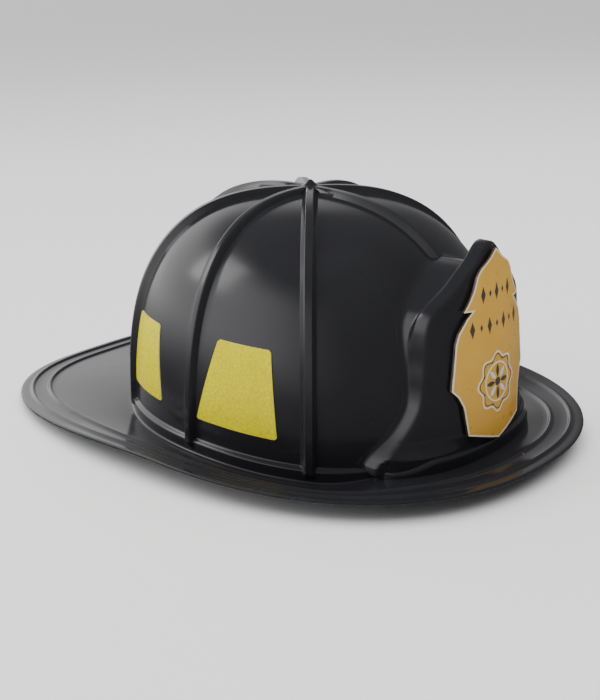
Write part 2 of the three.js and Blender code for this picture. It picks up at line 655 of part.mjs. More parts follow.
function napeCradle() {
  const start = (side) => new THREE.Vector2(side * CRADLE.halfWidth, CRADLE.sleeveFront);
  const path = [start(1), ...cradlePath(28), start(-1)];
  const { low, high } = HOUSING;
  let cradle = solid(ribbon(path, CRADLE.wall, low, high, vec));
  cradle = cradle.add(solid(box([-HOUSING.halfWidth, HOUSING.front, low],
    [HOUSING.halfWidth, HOUSING.back, high])));
  const { sleeveInner, sleeveFront, sleeveBack, halfWidth, wall, travel } = CRADLE;
  for (const side of [-1, 1]) {
    const sleeve = box([sleeveInner, sleeveFront, low], [halfWidth, sleeveBack, high]);
    const room = HEADBAND.thickness / 2 + GAP;
    const channel = box([HEADBAND.halfWidth - room, sleeveFront - 1, HEADBAND.low - GAP],
      [HEADBAND.halfWidth + room, HEADBAND.end + travel + 1, HEADBAND.high + GAP]);
    const mirror = new THREE.Matrix4().makeScale(side, 1, 1);
    cradle = cradle.add(solid(sleeve.applyMatrix4(mirror)));
    cradle = cradle.subtract(solid(channel.applyMatrix4(mirror)));
  }
  cradle = cradle.subtract(solid(box(
    [-HOUSING.cavityHalfWidth, HOUSING.cavityFront, HOUSING.axisZ - HOUSING.cavityHalfHeight],
    [HOUSING.cavityHalfWidth, HOUSING.back + 1, HOUSING.axisZ + HOUSING.cavityHalfHeight])));
  for (const { x, z } of screwPoints()) {
    cradle = cradle.subtract(solid(screwHole(x, z)));
  }
  return cradle;
}

// The hole for a cover screw, from just below the screw's tip to past the cover.
function screwHole(x, z) {
  const tip = COVER.back + GAP + SCREW.shoulder - SCREW.length;
  return rod(SCREW.shank + GAP, vec(x, tip - GAP, z), vec(x, COVER.back + 1, z), 10);
}

function cradleCover() {
  let cover = solid(box([-HOUSING.halfWidth, COVER.front, HOUSING.low],
    [HOUSING.halfWidth, COVER.back, HOUSING.high]));
  for (const { x, z } of screwPoints()) {
    cover = cover.subtract(solid(screwHole(x, z)));
  }
  return cover.subtract(solid(rod(GEAR.shaft + GAP, vec(0, COVER.front - 1, HOUSING.axisZ),
    vec(0, COVER.back + 1, HOUSING.axisZ), 24)));
}

function coverScrew({ x, z }) {
  const { shank, head, top, shoulder, headHeight, length } = SCREW;
  const seat = length - shoulder;
  const profilePoints = [[0, 0], [shank, 0], [shank, seat], [head, seat], [head, length],
    [top, seat + headHeight], [0, seat + headHeight]];
  return turned(profilePoints, vec(x, COVER.back + GAP - seat, z), vec(0, 1, 0));
}

function axisPoint(y) {
  return vec(0, y, HOUSING.axisZ);
}

// An outline round the drive's axis, extruded along it.
function driveExtrusion(points, front, back) {
  const options = { depth: back - front, bevelEnabled: false };
  const geometry = new THREE.ExtrudeGeometry(new THREE.Shape(points), options);
  return clean(geometry.rotateX(Math.PI / 2).translate(0, back, HOUSING.axisZ));
}

// A drive pinion with its shaft. A tooth stands at the top and at the bottom.
function drivePinion() {
  const { teeth, pitchRadius, addendum, dedendum, play, flank } = GEAR;
  const pitch = 2 * Math.PI / teeth;
  const half = pitch * pitchRadius / 4 - play;
  const points = [];
  for (let i = 0; i < teeth; i++) {
    const middle = Math.PI / 2 + i * pitch;
    const corners = [[-dedendum, half + flank * dedendum], [addendum, half - flank * addendum]];
    const rising = corners.map(([out, w]) => [pitchRadius + out, middle - w / pitchRadius]);
    const falling = corners.reverse()
      .map(([out, w]) => [pitchRadius + out, middle + w / pitchRadius]);
    for (const [r, angle] of [...rising, ...falling]) {
      points.push(new THREE.Vector2(r * Math.cos(angle), r * Math.sin(angle)));
    }
  }
  const gear = driveExtrusion(points, GEAR.front, GEAR.back);
  const shaft = rod(GEAR.shaft, axisPoint(GEAR.back - 1), axisPoint(KNOB.back - KNOB.shaftEnd), 24);
  const { shank, hole } = KNOB_SCREW;
  const bore = rod(shank + GAP, axisPoint(KNOB.back - hole), axisPoint(KNOB.back));
  return solid(gear).add(solid(shaft)).subtract(solid(bore));
}

// A toothed rack. The left one runs above the pinion and the right one below it.
function rack(side) {
  const pitch = 2 * Math.PI * GEAR.pitchRadius / GEAR.teeth;
  const { addendum, dedendum, play, flank, pitchRadius } = GEAR;
  const half = pitch / 4 - play;
  const [root, tip] = [pitchRadius + dedendum, pitchRadius - addendum];
  const points = [[RACK.outer, root + RACK.height], [RACK.inner, root + RACK.height],
    [RACK.inner, root]];
  for (let i = 0; i < RACK.teeth; i++) {
    const middle = (RACK.firstTooth + i + 0.5) * pitch;
    points.push([middle - half - flank * dedendum, root], [middle - half + flank * addendum, tip],
      [middle + half - flank * addendum, tip], [middle + half + flank * dedendum, root]);
  }
  points.push([RACK.outer, root]);
  const outline = points.map(([x, z]) => new THREE.Vector2(side * x, side * z));
  return driveExtrusion(outline, GEAR.front, GEAR.back);
}

function ratchetKnob() {
  const { lobes, radius, lobeDepth, front, back, floor, wellRadius, wellDepth } = KNOB;
  const steps = lobes * 6;
  const points = Array.from({ length: steps }, (_, i) => {
    const angle = i / steps * 2 * Math.PI;
    const r = radius - lobeDepth * (1 - Math.cos(lobes * angle)) / 2;
    return new THREE.Vector2(r * Math.cos(angle), r * Math.sin(angle));
  });
  const socketHole = rod(GEAR.shaft + GAP, axisPoint(front - 1), axisPoint(back - floor), 24);
  const well = rod(wellRadius, axisPoint(back - wellDepth), axisPoint(back + 1), 16);
  return solid(driveExtrusion(points, front, back)).subtract(solid(socketHole))
    .subtract(solid(well));
}

function knobScrew() {
  const { shank, head, headHeight, length, sunk } = KNOB_SCREW;
  const end = length + headHeight;
  const profilePoints = [[0, 0], [shank, 0], [shank, length], [head, length], [head, end], [0, end]];
  return turned(profilePoints, axisPoint(KNOB.back - sunk - end), vec(0, 1, 0));
}

// ---------------------------------------------------------------- pads

function browPad() {
  const { browOffset, browThickness, browEnd, margin } = PADS;
  const path = bandPath(browOffset, Math.PI + browEnd, 2 * Math.PI - browEnd, 30);
  return ribbon(path, browThickness, HEADBAND.low - margin, HEADBAND.high + margin, vec);
}

function napePad() {
  const centre = new THREE.Vector2(0, CRADLE.bendY);
  const { napeOffset, napeThickness, napeFrom, margin } = PADS;
  const path = arcPoints(centre, CRADLE.halfWidth - napeOffset, CRADLE.depth - napeOffset,
    CRADLE.power, napeFrom, Math.PI - napeFrom, 14);
  return ribbon(path, napeThickness, HOUSING.low + 2 * margin, HOUSING.high - 2 * margin, vec);
}

// ---------------------------------------------------------------- assembly

const stations = keyStations();
add('shell', buildShell(), MATERIALS.shell, shellFrame);
add('front_badge', badge(), MATERIALS.badge, shellFrame);
add('badge_tape', badgeTape(), MATERIALS.foam, shellFrame);
for (const [name, side] of [['right', -1], ['left', 1]]) {
  add(`${name}_side_panel`, panel(PANELS.side, side), MATERIALS.reflective, shellFrame);
  add(`${name}_rear_panel`, panel(PANELS.rear, side), MATERIALS.reflective, shellFrame);
}

add('headband', headband(stations), MATERIALS.band);
const keyNames = ['front_right', 'front_left', 'side_right', 'side_left', 'rear'];
keyNames.forEach((name, i) => {
  add(`${name}_key`, hangerKey(stations[i]), MATERIALS.band);
  add(`${name}_rivet`, keyRivet(stations[i]), MATERIALS.steel);
});
add('cross_strap', crossStrap(stations), MATERIALS.webbing);
add('long_strap', longStrap(stations), MATERIALS.webbing);
add('brow_rivet', rivet(browStation().origin.setZ(RIVET.z), vec(0, -1, 0), -HEADBAND.thickness,
  GAP + STRAP.thickness), MATERIALS.steel);
add('crown_rivet', rivet(crownStation().middle, vec(0, 0, 1), -STRAP.thickness / 2,
  STRAP.longTop - STRAP.crossTop + STRAP.thickness / 2), MATERIALS.steel);
add('crown_pad', crownPad(), MATERIALS.pad);
add('brow_pad', browPad(), MATERIALS.pad);

add('nape_cradle', napeCradle(), MATERIALS.band);
add('cradle_cover', cradleCover(), MATERIALS.band);
screwPoints().forEach((point, i) => {
  add(`cover_screw_${i + 1}`, coverScrew(point), MATERIALS.steel);
});
add('nape_pad', napePad(), MATERIALS.pad);
add('left_rack', rack(1), MATERIALS.gear);
add('right_rack', rack(-1), MATERIALS.gear);
add('drive_pinion', drivePinion(), MATERIALS.gear);
add('ratchet_knob', ratchetKnob(), MATERIALS.knob);
add('knob_screw', knobScrew(), MATERIALS.steel);

// The origin goes below the middle of the helmet's box.
const bounds = new THREE.Box3().setFromObject(helmet, true);
const middle = bounds.getCenter(vec());
helmet.position.set(-middle.x, -middle.y, -bounds.min.z);

export default helmet;
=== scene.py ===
"""A costume fire chief's helmet: a glossy black ribbed shell with a gold front badge, reflective
panels and, inside, a cradle on crown straps with a ratchet that fits it to the head.

Shapes are worked out in millimetres. The shell has a frame of its own, with z = 0 on the dome's
base plane and the crown's axis at x = y = 0, and leans by STAND_TILT where the helmet stands on
its brim. The suspension uses the same origin without the lean. The wearer faces -Y.
"""

import math

import bmesh
import bpy
import numpy as np
from mathutils import Matrix, Vector


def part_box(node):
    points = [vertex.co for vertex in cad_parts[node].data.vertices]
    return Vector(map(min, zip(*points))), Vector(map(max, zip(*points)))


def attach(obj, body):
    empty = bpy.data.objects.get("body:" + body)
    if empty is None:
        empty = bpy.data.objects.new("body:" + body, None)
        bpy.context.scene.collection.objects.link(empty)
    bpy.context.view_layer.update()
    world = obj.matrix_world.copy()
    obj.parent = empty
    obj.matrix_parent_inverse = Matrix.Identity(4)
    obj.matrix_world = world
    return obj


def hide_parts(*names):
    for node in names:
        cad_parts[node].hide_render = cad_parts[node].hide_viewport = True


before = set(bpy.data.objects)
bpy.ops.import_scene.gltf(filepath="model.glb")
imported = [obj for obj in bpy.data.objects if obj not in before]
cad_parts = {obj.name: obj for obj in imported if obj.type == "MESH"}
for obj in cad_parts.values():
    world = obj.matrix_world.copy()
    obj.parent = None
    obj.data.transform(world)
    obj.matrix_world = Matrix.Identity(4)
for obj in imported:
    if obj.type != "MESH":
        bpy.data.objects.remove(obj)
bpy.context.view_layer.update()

MM = 0.001
STAND_TILT = math.radians(1.5)
DOME = dict(half_width=89.2, half_length=112, centre_y=-3.1, plan_power=2.26,
            height=128.3, profile_power=2.79, wall=2)
RIBS = dict(azimuths=np.radians([-138, -95, -50, 0, 50, 95, 138, 180]), height=3.6,
            half_top=1.7, half_foot=4.3, end_low=2.2, end_high=6.2, widest=math.radians(19.5))
GROOVE = dict(depth=2.0, half_top=0.5, half_foot=2.8, heights=(6, 10), radii=(6, 14))
CROWN_NUB = dict(height=3.3, radius=4.6)
CAD_CROWN = 135.3
RING = dict(width=2.0, full_below=6.0, none_above=8.6, foot=1.2)
BRIM = dict(centre_y=-3.21, half_width=124.1, front=154.9, front_power=2.29, rear=201.9,
            rear_power=2.62, side_z=9.5, front_z=11.5, rear_z=-7.2, root_rise=7,
            rise_from=math.radians(22), rise_to=math.radians(48), under_fillet=1.6,
            beads=(17.9, 7.2), bead_half=1.8, bead_height=1.3, first_inset=22.5)
BASE_BAND = 12.0
SHIELD = dict(radius=85, front_y=-125.9, lean=0.06, thickness=9.6, base_top=23.5, base_step=0.6,
              edge=4.6, tip_edge=2.4, tip_from=85, tip_to=108, steepest=1.2)
HOOD = dict(ahead_y=-130.0, deepest_y=-40.0, least_plate=1.5, least_wall=1.0, blend_before=2.0,
            blend_after=2.6, fillet=2.2, least_fillet=0.3, tuck=1.1, back_y=-72.0, top=103,
            thicker_from=85, thicker_over=20)
LEDGE = dict(half_width=62, centre_y=-94, depth=32.4, power=2.25, height=15.3, tail_height=9.5,
             setback=2.6, bottom=7, tail_bottom=3.6, round=2.2, hollow_round=0.2, tail_y=-93.5,
             back_y=-84.0, top_tail=(40, 61), bottom_tail=(45, 61))
ROOM_FLOOR = -12

# Half-width at each height, from the tails to the tip.
SHIELD_OUTLINE = [(60.6, 4.2), (62.6, 5.8), (63.5, 8), (63.4, 10.8), (61.3, 15), (58.7, 18.5),
                  (55.2, 23), (51.5, 28.3), (47.6, 35.4), (45.4, 40.7), (44, 48), (43.3, 56),
                  (42.4, 63.6), (42, 72.7), (41, 81.7), (38.4, 87.4), (34.2, 91.6), (29.6, 95),
                  (25.4, 98.2), (21.6, 101.8), (18, 105.4), (14, 108.6), (10.2, 111.6),
                  (7.6, 114.6), (5, 117.2), (2.4, 118.6), (0, 118.9)]
HOOD_OUTLINE = [(60.5, 3), (59.6, 8.5), (55.8, 17), (51.4, 24), (47.4, 30.3), (44.6, 36.5),
                (43.4, 43), (42.9, 61), (41.6, 74), (38.7, 82), (34.6, 88.3), (28.4, 93.2),
                (19, 99.3), (8, 104.6), (0, 106)]
BADGE_OUTLINE = [(0, 16), (22.8, 23), (25.3, 38.4), (28.3, 44.3), (32.2, 48.4), (30.2, 64),
                 (29.4, 71.6), (27.4, 77.4), (22.9, 83.2), (18.8, 87), (24.2, 87.5), (22, 90.2),
                 (19.4, 93.9), (17.6, 97.1), (16.2, 100.4), (15.2, 103.3), (13.6, 105.8),
                 (11.4, 107.8), (8.3, 109.6), (5.6, 111.3), (3.5, 113), (1.6, 114.6), (0, 116)]


# ---------------------------------------------------------------- helpers

def tilted(points):
    """The shell's frame turned into the standing helmet's."""
    x, y, z = np.moveaxis(np.asarray(points, float), -1, 0)
    c, s = math.cos(STAND_TILT), math.sin(STAND_TILT)
    return np.stack([x, y * c - z * s, y * s + z * c], -1)


def untilted(points):
    x, y, z = np.moveaxis(np.asarray(points, float), -1, 0)
    c, s = math.cos(STAND_TILT), math.sin(STAND_TILT)
    return np.stack([x, y * c + z * s, z * c - y * s], -1)


# The CAD shell's highest point is its crown, at CAD_CROWN in the shell's frame.
crown = max((v.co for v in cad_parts["shell"].data.vertices), key=lambda co: co.z)
SHIFT = np.array(crown) / MM - tilted((0, 0, CAD_CROWN))
SHIFT[0] = 0


def smoothstep(x, low, high):
    t = np.clip((x - low) / (high - low), 0, 1)
    return t * t * (3 - 2 * t)


def lerp(a, b, t):
    return a + (b - a) * t


def unit(vectors):
    return vectors / np.linalg.norm(vectors, axis=-1, keepdims=True)


def bisected(low, high, keeps_low, steps=40):
    """Where a test turns between two values, or between two arrays of them."""
    for _ in range(steps):
        middle = (low + high) / 2
        keep = keeps_low(middle)
        low, high = np.where(keep, middle, low), np.where(keep, high, middle)
    return low


def new_object(name, points, faces, shell_frame=True):
    """A closed mesh from points in millimetres, welded, with its faces pointing out."""
    placed = (tilted(points) if shell_frame else np.asarray(points, float)) + SHIFT
    mesh = bpy.data.meshes.new(name)
    mesh.from_pydata((placed * MM).tolist(), [], faces)
    obj = bpy.data.objects.new(name, mesh)
    bpy.context.scene.collection.objects.link(obj)
    weld(obj)
    return obj


def weld(obj, distance=2e-7):
    bm = bmesh.new()
    bm.from_mesh(obj.data)
    bmesh.ops.remove_doubles(bm, verts=bm.verts, dist=distance)
    bmesh.ops.dissolve_degenerate(bm, edges=bm.edges, dist=distance)
    bmesh.ops.recalc_face_normals(bm, faces=bm.faces)
    bm.to_mesh(obj.data)
    bm.free()


def loop_faces(rows, columns):
    """Quads between stacked loops."""
    i, j = np.meshgrid(np.arange(rows - 1), np.arange(columns), indexing="ij")
    a, b = i * columns + j, i * columns + (j + 1) % columns
    return np.stack([a, b, b + columns, a + columns], -1).reshape(-1, 4).tolist()


def capped_faces(rows, columns):
    """The same, with one flat face over each end."""
    last = (rows - 1) * columns
    return loop_faces(rows, columns) + [list(range(columns)), list(range(last, last + columns))]


def end_faces(start, count):
    """A flat end whose first point pairs with its last, the second with the last but one."""
    return [[start + j, start + j + 1, start + count - 2 - j, start + count - 1 - j]
            for j in range((count - 1) // 2)]


def loft(name, loops, shell_frame=True, ends=True):
    loops = np.asarray(loops, float)
    rows, columns = loops.shape[:2]
    faces = loop_faces(rows, columns)
    if ends:
        faces += end_faces(0, columns) + end_faces((rows - 1) * columns, columns)
    return new_object(name, loops.reshape(-1, 3), faces, shell_frame)


def rounded(points, passes=3):
    """A line with its corners cut, its ends kept."""
    points = np.asarray(points, float)
    for _ in range(passes):
        a, b = points[:-1], points[1:]
        cut = np.stack([lerp(a, b, 0.25), lerp(a, b, 0.75)], 1).reshape(-1, points.shape[1])
        points = np.vstack([points[:1], cut, points[-1:]])
    return points


def resampled(points, count):
    """A line's points spaced evenly along it."""
    points = np.asarray(points, float)
    steps = np.linalg.norm(np.diff(points, axis=0), axis=1)
    length = np.concatenate([[0], np.cumsum(steps)])
    at = np.linspace(0, 1, count) * length[-1]
    return np.stack([np.interp(at, length, points[:, k]) for k in range(points.shape[1])], -1)


def smooth(obj, angle=35):
    obj.data.shade_smooth()
    obj.data.set_sharp_from_angle(angle=math.radians(angle))


def keep_normals(obj, sign=1):
    """Stores the smooth normals, so that a cut leaves the shading of its surfaces alone."""
    smooth(obj)
    mesh = obj.data
    normals = np.empty(len(mesh.loops) * 3, np.float32)
    mesh.corner_normals.foreach_get("vector", normals)
    stored = mesh.attributes.new("kept_normal", "FLOAT_VECTOR", "CORNER")
    stored.data.foreach_set("vector", normals * sign)
    return obj


def restore_normals(obj):
    mesh = obj.data
    stored = mesh.attributes["kept_normal"]
    normals = np.empty(len(mesh.loops) * 3, np.float32)
    stored.data.foreach_get("vector", normals)
    normals = normals.reshape(-1, 3)
    normals /= np.maximum(np.linalg.norm(normals, axis=1, keepdims=True), 1e-9)
    mesh.attributes.remove(stored)
    mesh.shade_smooth()
    mesh.normals_split_custom_set(normals.tolist())


def combine(base, other, operation):
    """Joins other to base, or cuts it away, and removes it."""
    modifier = base.modifiers.new("combine", "BOOLEAN")
    modifier.object = other
    modifier.operation = operation
    modifier.solver = "MANIFOLD"
    apply_modifiers(base)
    bpy.data.objects.remove(other)
    return base


def apply_modifiers(obj):
    graph = bpy.context.evaluated_depsgraph_get()
    mesh = bpy.data.meshes.new_from_object(obj.evaluated_get(graph), depsgraph=graph,
                                           preserve_all_data_layers=True)
    obj.modifiers.clear()
    obj.data = mesh


# ---------------------------------------------------------------- the shell's surfaces

def plan_radius(azimuth, inset=0.0):
    """Distance from the crown's axis to the dome's base outline."""
    dx, dy = np.sin(azimuth), -np.cos(azimuth)

    def inside(r):
        x = np.abs(r * dx) / (DOME["half_width"] - inset)
        y = np.abs(r * dy - DOME["centre_y"]) / (DOME["half_length"] - inset)
        return x ** DOME["plan_power"] + y ** DOME["plan_power"] < 1

    far = np.full_like(azimuth, 2.0 * DOME["half_length"])
    return bisected(np.zeros_like(far), far, inside)


def profile(height, inset=0.0):
    """Share of the base outline's radius that the dome still has at a height."""
    h = np.clip(height / (DOME["height"] - inset), 0, 1)
    return (1 - h ** DOME["profile_power"]) ** (1 / DOME["profile_power"])


def dome_y(x, z):
    """The dome's front surface over points of the shield's plane."""
    def outside(y):
        return np.hypot(x, y) > plan_radius(np.arctan2(x, -y)) * profile(z)

    return bisected(np.full(x.shape, HOOD["ahead_y"]), np.full(x.shape, DOME["centre_y"]), outside)


def polar(radius, azimuth, z):
    radius, azimuth, z = np.broadcast_arrays(radius, azimuth, z)
    return np.stack([radius * np.sin(azimuth), -radius * np.cos(azimuth), z], -1)


def columns_at(radius):
    """Azimuths round the dome at a radius, close together on each rib."""
    columns = []
    centres = RIBS["azimuths"]
    for i, centre in enumerate(centres):
        step = (centres[(i + 1) % len(centres)] - centre) % (2 * math.pi)
        foot = min(math.atan2(RIBS["half_foot"] + 0.3, radius), RIBS["widest"])
        columns.extend(centre + foot * np.linspace(-1, 1, 13))
        columns.extend(centre + foot + (step - 2 * foot) * np.arange(1, 15) / 15)
    return np.array(columns)


def rib_distance(radius, azimuth):
    off = azimuth[..., None] - RIBS["azimuths"]
    turn = np.abs(np.arctan2(np.sin(off), np.cos(off))).min(-1)
    return radius * np.sin(np.minimum(turn, math.pi / 2))


def rib_height(distance):
    return RIBS["height"] * (1 - smoothstep(distance, RIBS["half_top"], RIBS["half_foot"]))


def root_rise(azimuth):
    """The brim's root rises in front of the shield."""
    turn = np.abs(np.arctan2(np.sin(azimuth), np.cos(azimuth)))
    return BRIM["root_rise"] * (1 - smoothstep(turn, BRIM["rise_from"], BRIM["rise_to"]))


def dome_heights():
    """Heights of the rows from the crown down: close at the crown and again at the base."""
    power = 2 / DOME["profile_power"]
    angle = np.linspace(math.pi / 2, 0, 4000)
    line = np.stack([DOME["half_width"] * np.cos(angle) ** power,
                     DOME["height"] * np.sin(angle) ** power], -1)
    length = np.concatenate([[0], np.cumsum(np.linalg.norm(np.diff(line, axis=0), axis=1))])
    above = length[line[:, 1] > BASE_BAND][-1]
    at = np.concatenate([np.arange(0, 7, 0.55), np.linspace(7.4, above, 100)])
    return np.interp(at, length, line[:, 0]), np.interp(at, length, line[:, 1])


def surface_slope(share, z, inset=0.0):
    power = DOME["profile_power"] - 1
    height = DOME["height"] - inset
    return np.arctan2(share ** power / DOME["half_width"], (z / height) ** power / height)


def outer_rows():
    """The dome with its ribs, crown nub and base ring, from the crown down."""
    rows = []
    radii, heights = dome_heights()
    for radius, z in zip(radii, heights):
        azimuth = columns_at(max(radius, 0.05))
        share = radius / DOME["half_width"]
        rows.append(raised(azimuth, share, np.full_like(azimuth, z), z))
    for z in np.linspace(BASE_BAND, RING["foot"], 29)[1:]:
        azimuth = columns_at(DOME["half_width"])
        rise = root_rise(azimuth)
        lifted = rise + z * (BASE_BAND - rise) / BASE_BAND
        rows.append(raised(azimuth, profile(lifted), lifted, z))
    return rows


def raised(azimuth, share, z, ring_z):
    plan = plan_radius(azimuth) * share
    slope = surface_slope(share, z)
    reach = np.clip((ring_z - RIBS["end_low"]) / (RIBS["end_high"] - RIBS["end_low"]), 0, 1)
    rib = rib_height(rib_distance(plan, azimuth)) * math.sqrt(1 - (1 - reach) ** 2)
    ring = RING["width"] * (1 - smoothstep(ring_z, RING["full_below"], RING["none_above"]))
    rise = (rib ** 4 + ring ** 4) ** 0.25
    rise = rise + CROWN_NUB["height"] * (1 - smoothstep(plan, 0.2, CROWN_NUB["radius"]))
    return polar(plan + rise * np.sin(slope), azimuth, z + rise * np.cos(slope))


def brim_edge(azimuth):
    c, s = np.cos(azimuth), np.sin(azimuth)
    ahead = c > 0
    length = np.where(ahead, BRIM["front"], BRIM["rear"])
    power = np.where(ahead, BRIM["front_power"], BRIM["rear_power"])
    tip = np.where(ahead, BRIM["front_z"], BRIM["rear_z"])
    share = (np.abs(s) / BRIM["half_width"]) ** power + (np.abs(c) / length) ** power
    reach = share ** (-1 / power)
    return np.stack([reach * s, BRIM["centre_y"] - reach * c, lerp(BRIM["side_z"], tip, c * c)], -1)


def brim_surface(root, edge, inset):
    """A row of the brim's top at a distance in from its edge, with the beads on it."""
    out = edge[:, :2] - root[:, :2]
    run = np.linalg.norm(out, axis=1)
    tangent = np.roll(edge, -1, 0)[:, :2] - np.roll(edge, 1, 0)[:, :2]
    normal = unit(np.stack([tangent[:, 1], -tangent[:, 0]], -1))
    facing = np.abs((out * normal).sum(1)) / run
    point = lerp(edge, root, (inset / facing / run)[:, None])
    for bead in BRIM["beads"]:
        near = np.clip(np.abs(inset - bead) / BRIM["bead_half"], 0, 1)
        point[:, 2] += BRIM["bead_height"] * np.cos(near * math.pi / 2) ** 2
    return point


def brim_insets():
    """Distances in from the edge of the rows that carry the beads, from the inside out."""
    marks = [BRIM["first_inset"]]
    for bead in BRIM["beads"]:
        marks.extend(bead + BRIM["bead_half"] * np.linspace(1, -1, 11))
        marks.extend(bead - BRIM["bead_half"] - np.array([1.2, 2.6]))
    return marks


def brim_rows():
    """The fillet at the ring's foot, the brim's top, its rounded edge and its underside."""
    azimuth = columns_at(DOME["half_width"])
    plan, rise = plan_radius(azimuth), root_rise(azimuth)
    foot = RING["foot"]
    rows = []
    for angle in np.linspace(0, math.pi / 2, 6)[1:]:
        out = RING["width"] + foot * (1 - math.cos(angle))
        above = foot * (1 - math.sin(angle)) * (1 - rise / BASE_BAND)
        rows.append(polar(plan + out, azimuth, rise + above))
    root, edge = rows[-1], brim_edge(azimuth)
    wide = brim_surface(root, edge, brim_insets()[0])
    top = [lerp(root, wide, share) for share in np.linspace(0, 1, 13)[1:-1]]
    top += [brim_surface(root, edge, inset) for inset in brim_insets()]
    half = DOME["wall"] / 2
    lip = []
    for angle in np.linspace(0, math.pi, 9):
        row = brim_surface(root, edge, half * (1 - math.sin(angle)))
        row[:, 2] -= half * (1 - math.cos(angle))
        lip.append(row)
    under = [row - (0, 0, DOME["wall"]) for row in reversed(top)]
    return rows + top + lip + under


def groove_depth(radius, azimuth, z):
    """The moulding is hollow behind each rib."""
    off = rib_distance(radius, azimuth)
    depth = GROOVE["depth"] * (1 - smoothstep(off, GROOVE["half_top"], GROOVE["half_foot"]))
    return depth * smoothstep(z, *GROOVE["heights"]) * smoothstep(radius, *GROOVE["radii"])


def inner_rows(inset, grooves=True, floor=None):
    """The lining from the brim's underside or a flat floor to the crown."""
    azimuth = columns_at(DOME["half_width"])
    rise = root_rise(azimuth) if floor is None else np.zeros_like(azimuth)
    plan = plan_radius(azimuth, inset)
    rows = []
    if floor is None:
        bend = BRIM["under_fillet"]
        for angle in np.linspace(0, math.pi / 2, 5):
            z = rise - DOME["wall"] + bend * (1 - math.cos(angle))
            rows.append(polar(plan + bend * (1 - math.sin(angle)), azimuth, z))
    else:
        rows.append(polar(plan, azimuth, floor))
    power = 2 / DOME["profile_power"]
    height = DOME["height"] - inset
    for angle in np.linspace(0, math.pi / 2, 64)[1:-1]:
        z = height * math.sin(angle) ** power
        lifted = rise * (1 - z / height) + z
        share = profile(lifted, inset)
        radius = plan * share
        groove = groove_depth(radius, azimuth, z) if grooves else 0
        slope = surface_slope(share, lifted, inset)
        rows.append(polar(radius + groove * np.sin(slope), azimuth,
                          lifted + groove * np.cos(slope)))
    rows.append(polar(np.zeros_like(azimuth), azimuth, height))
    return rows


def dome_and_brim():
    return loft("shell", outer_rows() + brim_rows() + inner_rows(DOME["wall"]), ends=False)


def room():
    """The room inside the dome, which trims the blocks that join it inside its wall."""
    rows = inner_rows(DOME["wall"] * 0.75, grooves=False, floor=ROOM_FLOOR)
    return loft("room", [rows[0] * (0, 0, 1)] + rows, ends=False)


# ---------------------------------------------------------------- the shield block

def face_y(x, z, radius=SHIELD["radius"]):
    """The shield's face is part of a cylinder that leans back a little."""
    return (SHIELD["front_y"] + SHIELD["radius"] + SHIELD["lean"] * z
            - np.sqrt(np.maximum(radius ** 2 - np.square(x), 1)))


def ledge_y(x):
    across = np.minimum(np.abs(x) / LEDGE["half_width"], 1)
    power = LEDGE["power"]
    return LEDGE["centre_y"] - LEDGE["depth"] * (1 - across ** power) ** (1 / power)


def shield_y(x, z):
    """Below its base line the face steps out and then flares towards the ledge."""
    share = np.clip((SHIELD["base_top"] - z) / (SHIELD["base_top"] - LEDGE["height"] - 1), 0, 1)
    target = np.minimum(face_y(x, z), ledge_y(x) + LEDGE["setback"])
    step = SHIELD["base_step"] * smoothstep(SHIELD["base_top"] - z, -0.3, 0.3)
    return lerp(face_y(x, np.maximum(z, SHIELD["base_top"])) - step, target, share ** 2)


def outline_normals(line):
    along = np.gradient(line, axis=0)
    normal = unit(np.stack([along[:, 1], -along[:, 0]], -1))
    normal[-1] = (0, 1)
    return normal


def shield_block():
    """The shield's plate and the hood that joins it to the dome, one row along its outline."""
    count = 150
    plate = resampled(rounded(SHIELD_OUTLINE), count)
    hood = resampled(rounded(HOOD_OUTLINE), count)
    normal, hood_normal = outline_normals(plate), outline_normals(hood)
    tip = smoothstep(plate[:, 1], SHIELD["tip_from"], SHIELD["tip_to"])
    edge = lerp(SHIELD["edge"], SHIELD["tip_edge"], tip)
    inner = plate - normal * edge[:, None] * 0.5
    step = 0.5
    for _ in range(4):
        rise = shield_y(*(inner + normal * step).T) - shield_y(*inner.T)
        slope = np.clip(np.arctan(rise / step), 0, SHIELD["steepest"])
        inner = plate - normal * (edge * (1 - np.sin(slope)))[:, None]
        inner[:, 0] = np.maximum(inner[:, 0], 0)
    start = shield_y(*inner.T)
    half = []
    for share in np.linspace(0, 1, 34):
        x = inner[:, 0] * share
        half.append(np.stack([x, shield_y(x, inner[:, 1]), inner[:, 1]], -1))
    centre_y = start + edge * np.cos(slope)
    for share in np.linspace(0, 1, 8)[1:]:
        angle = lerp(slope, math.pi / 2, share)
        flat = plate - normal * (edge * (1 - np.sin(angle)))[:, None]
        y = centre_y - edge * np.cos(angle)
        half.append(np.stack([np.maximum(flat[:, 0], 0), y, flat[:, 1]], -1))
    half += hood_wall(plate, hood, hood_normal, centre_y)
    half = np.array(half)
    mirrored = half[:0:-1] * (-1, 1, 1)
    loops = np.concatenate([mirrored, half]).transpose(1, 0, 2)
    return loft("block", loops)


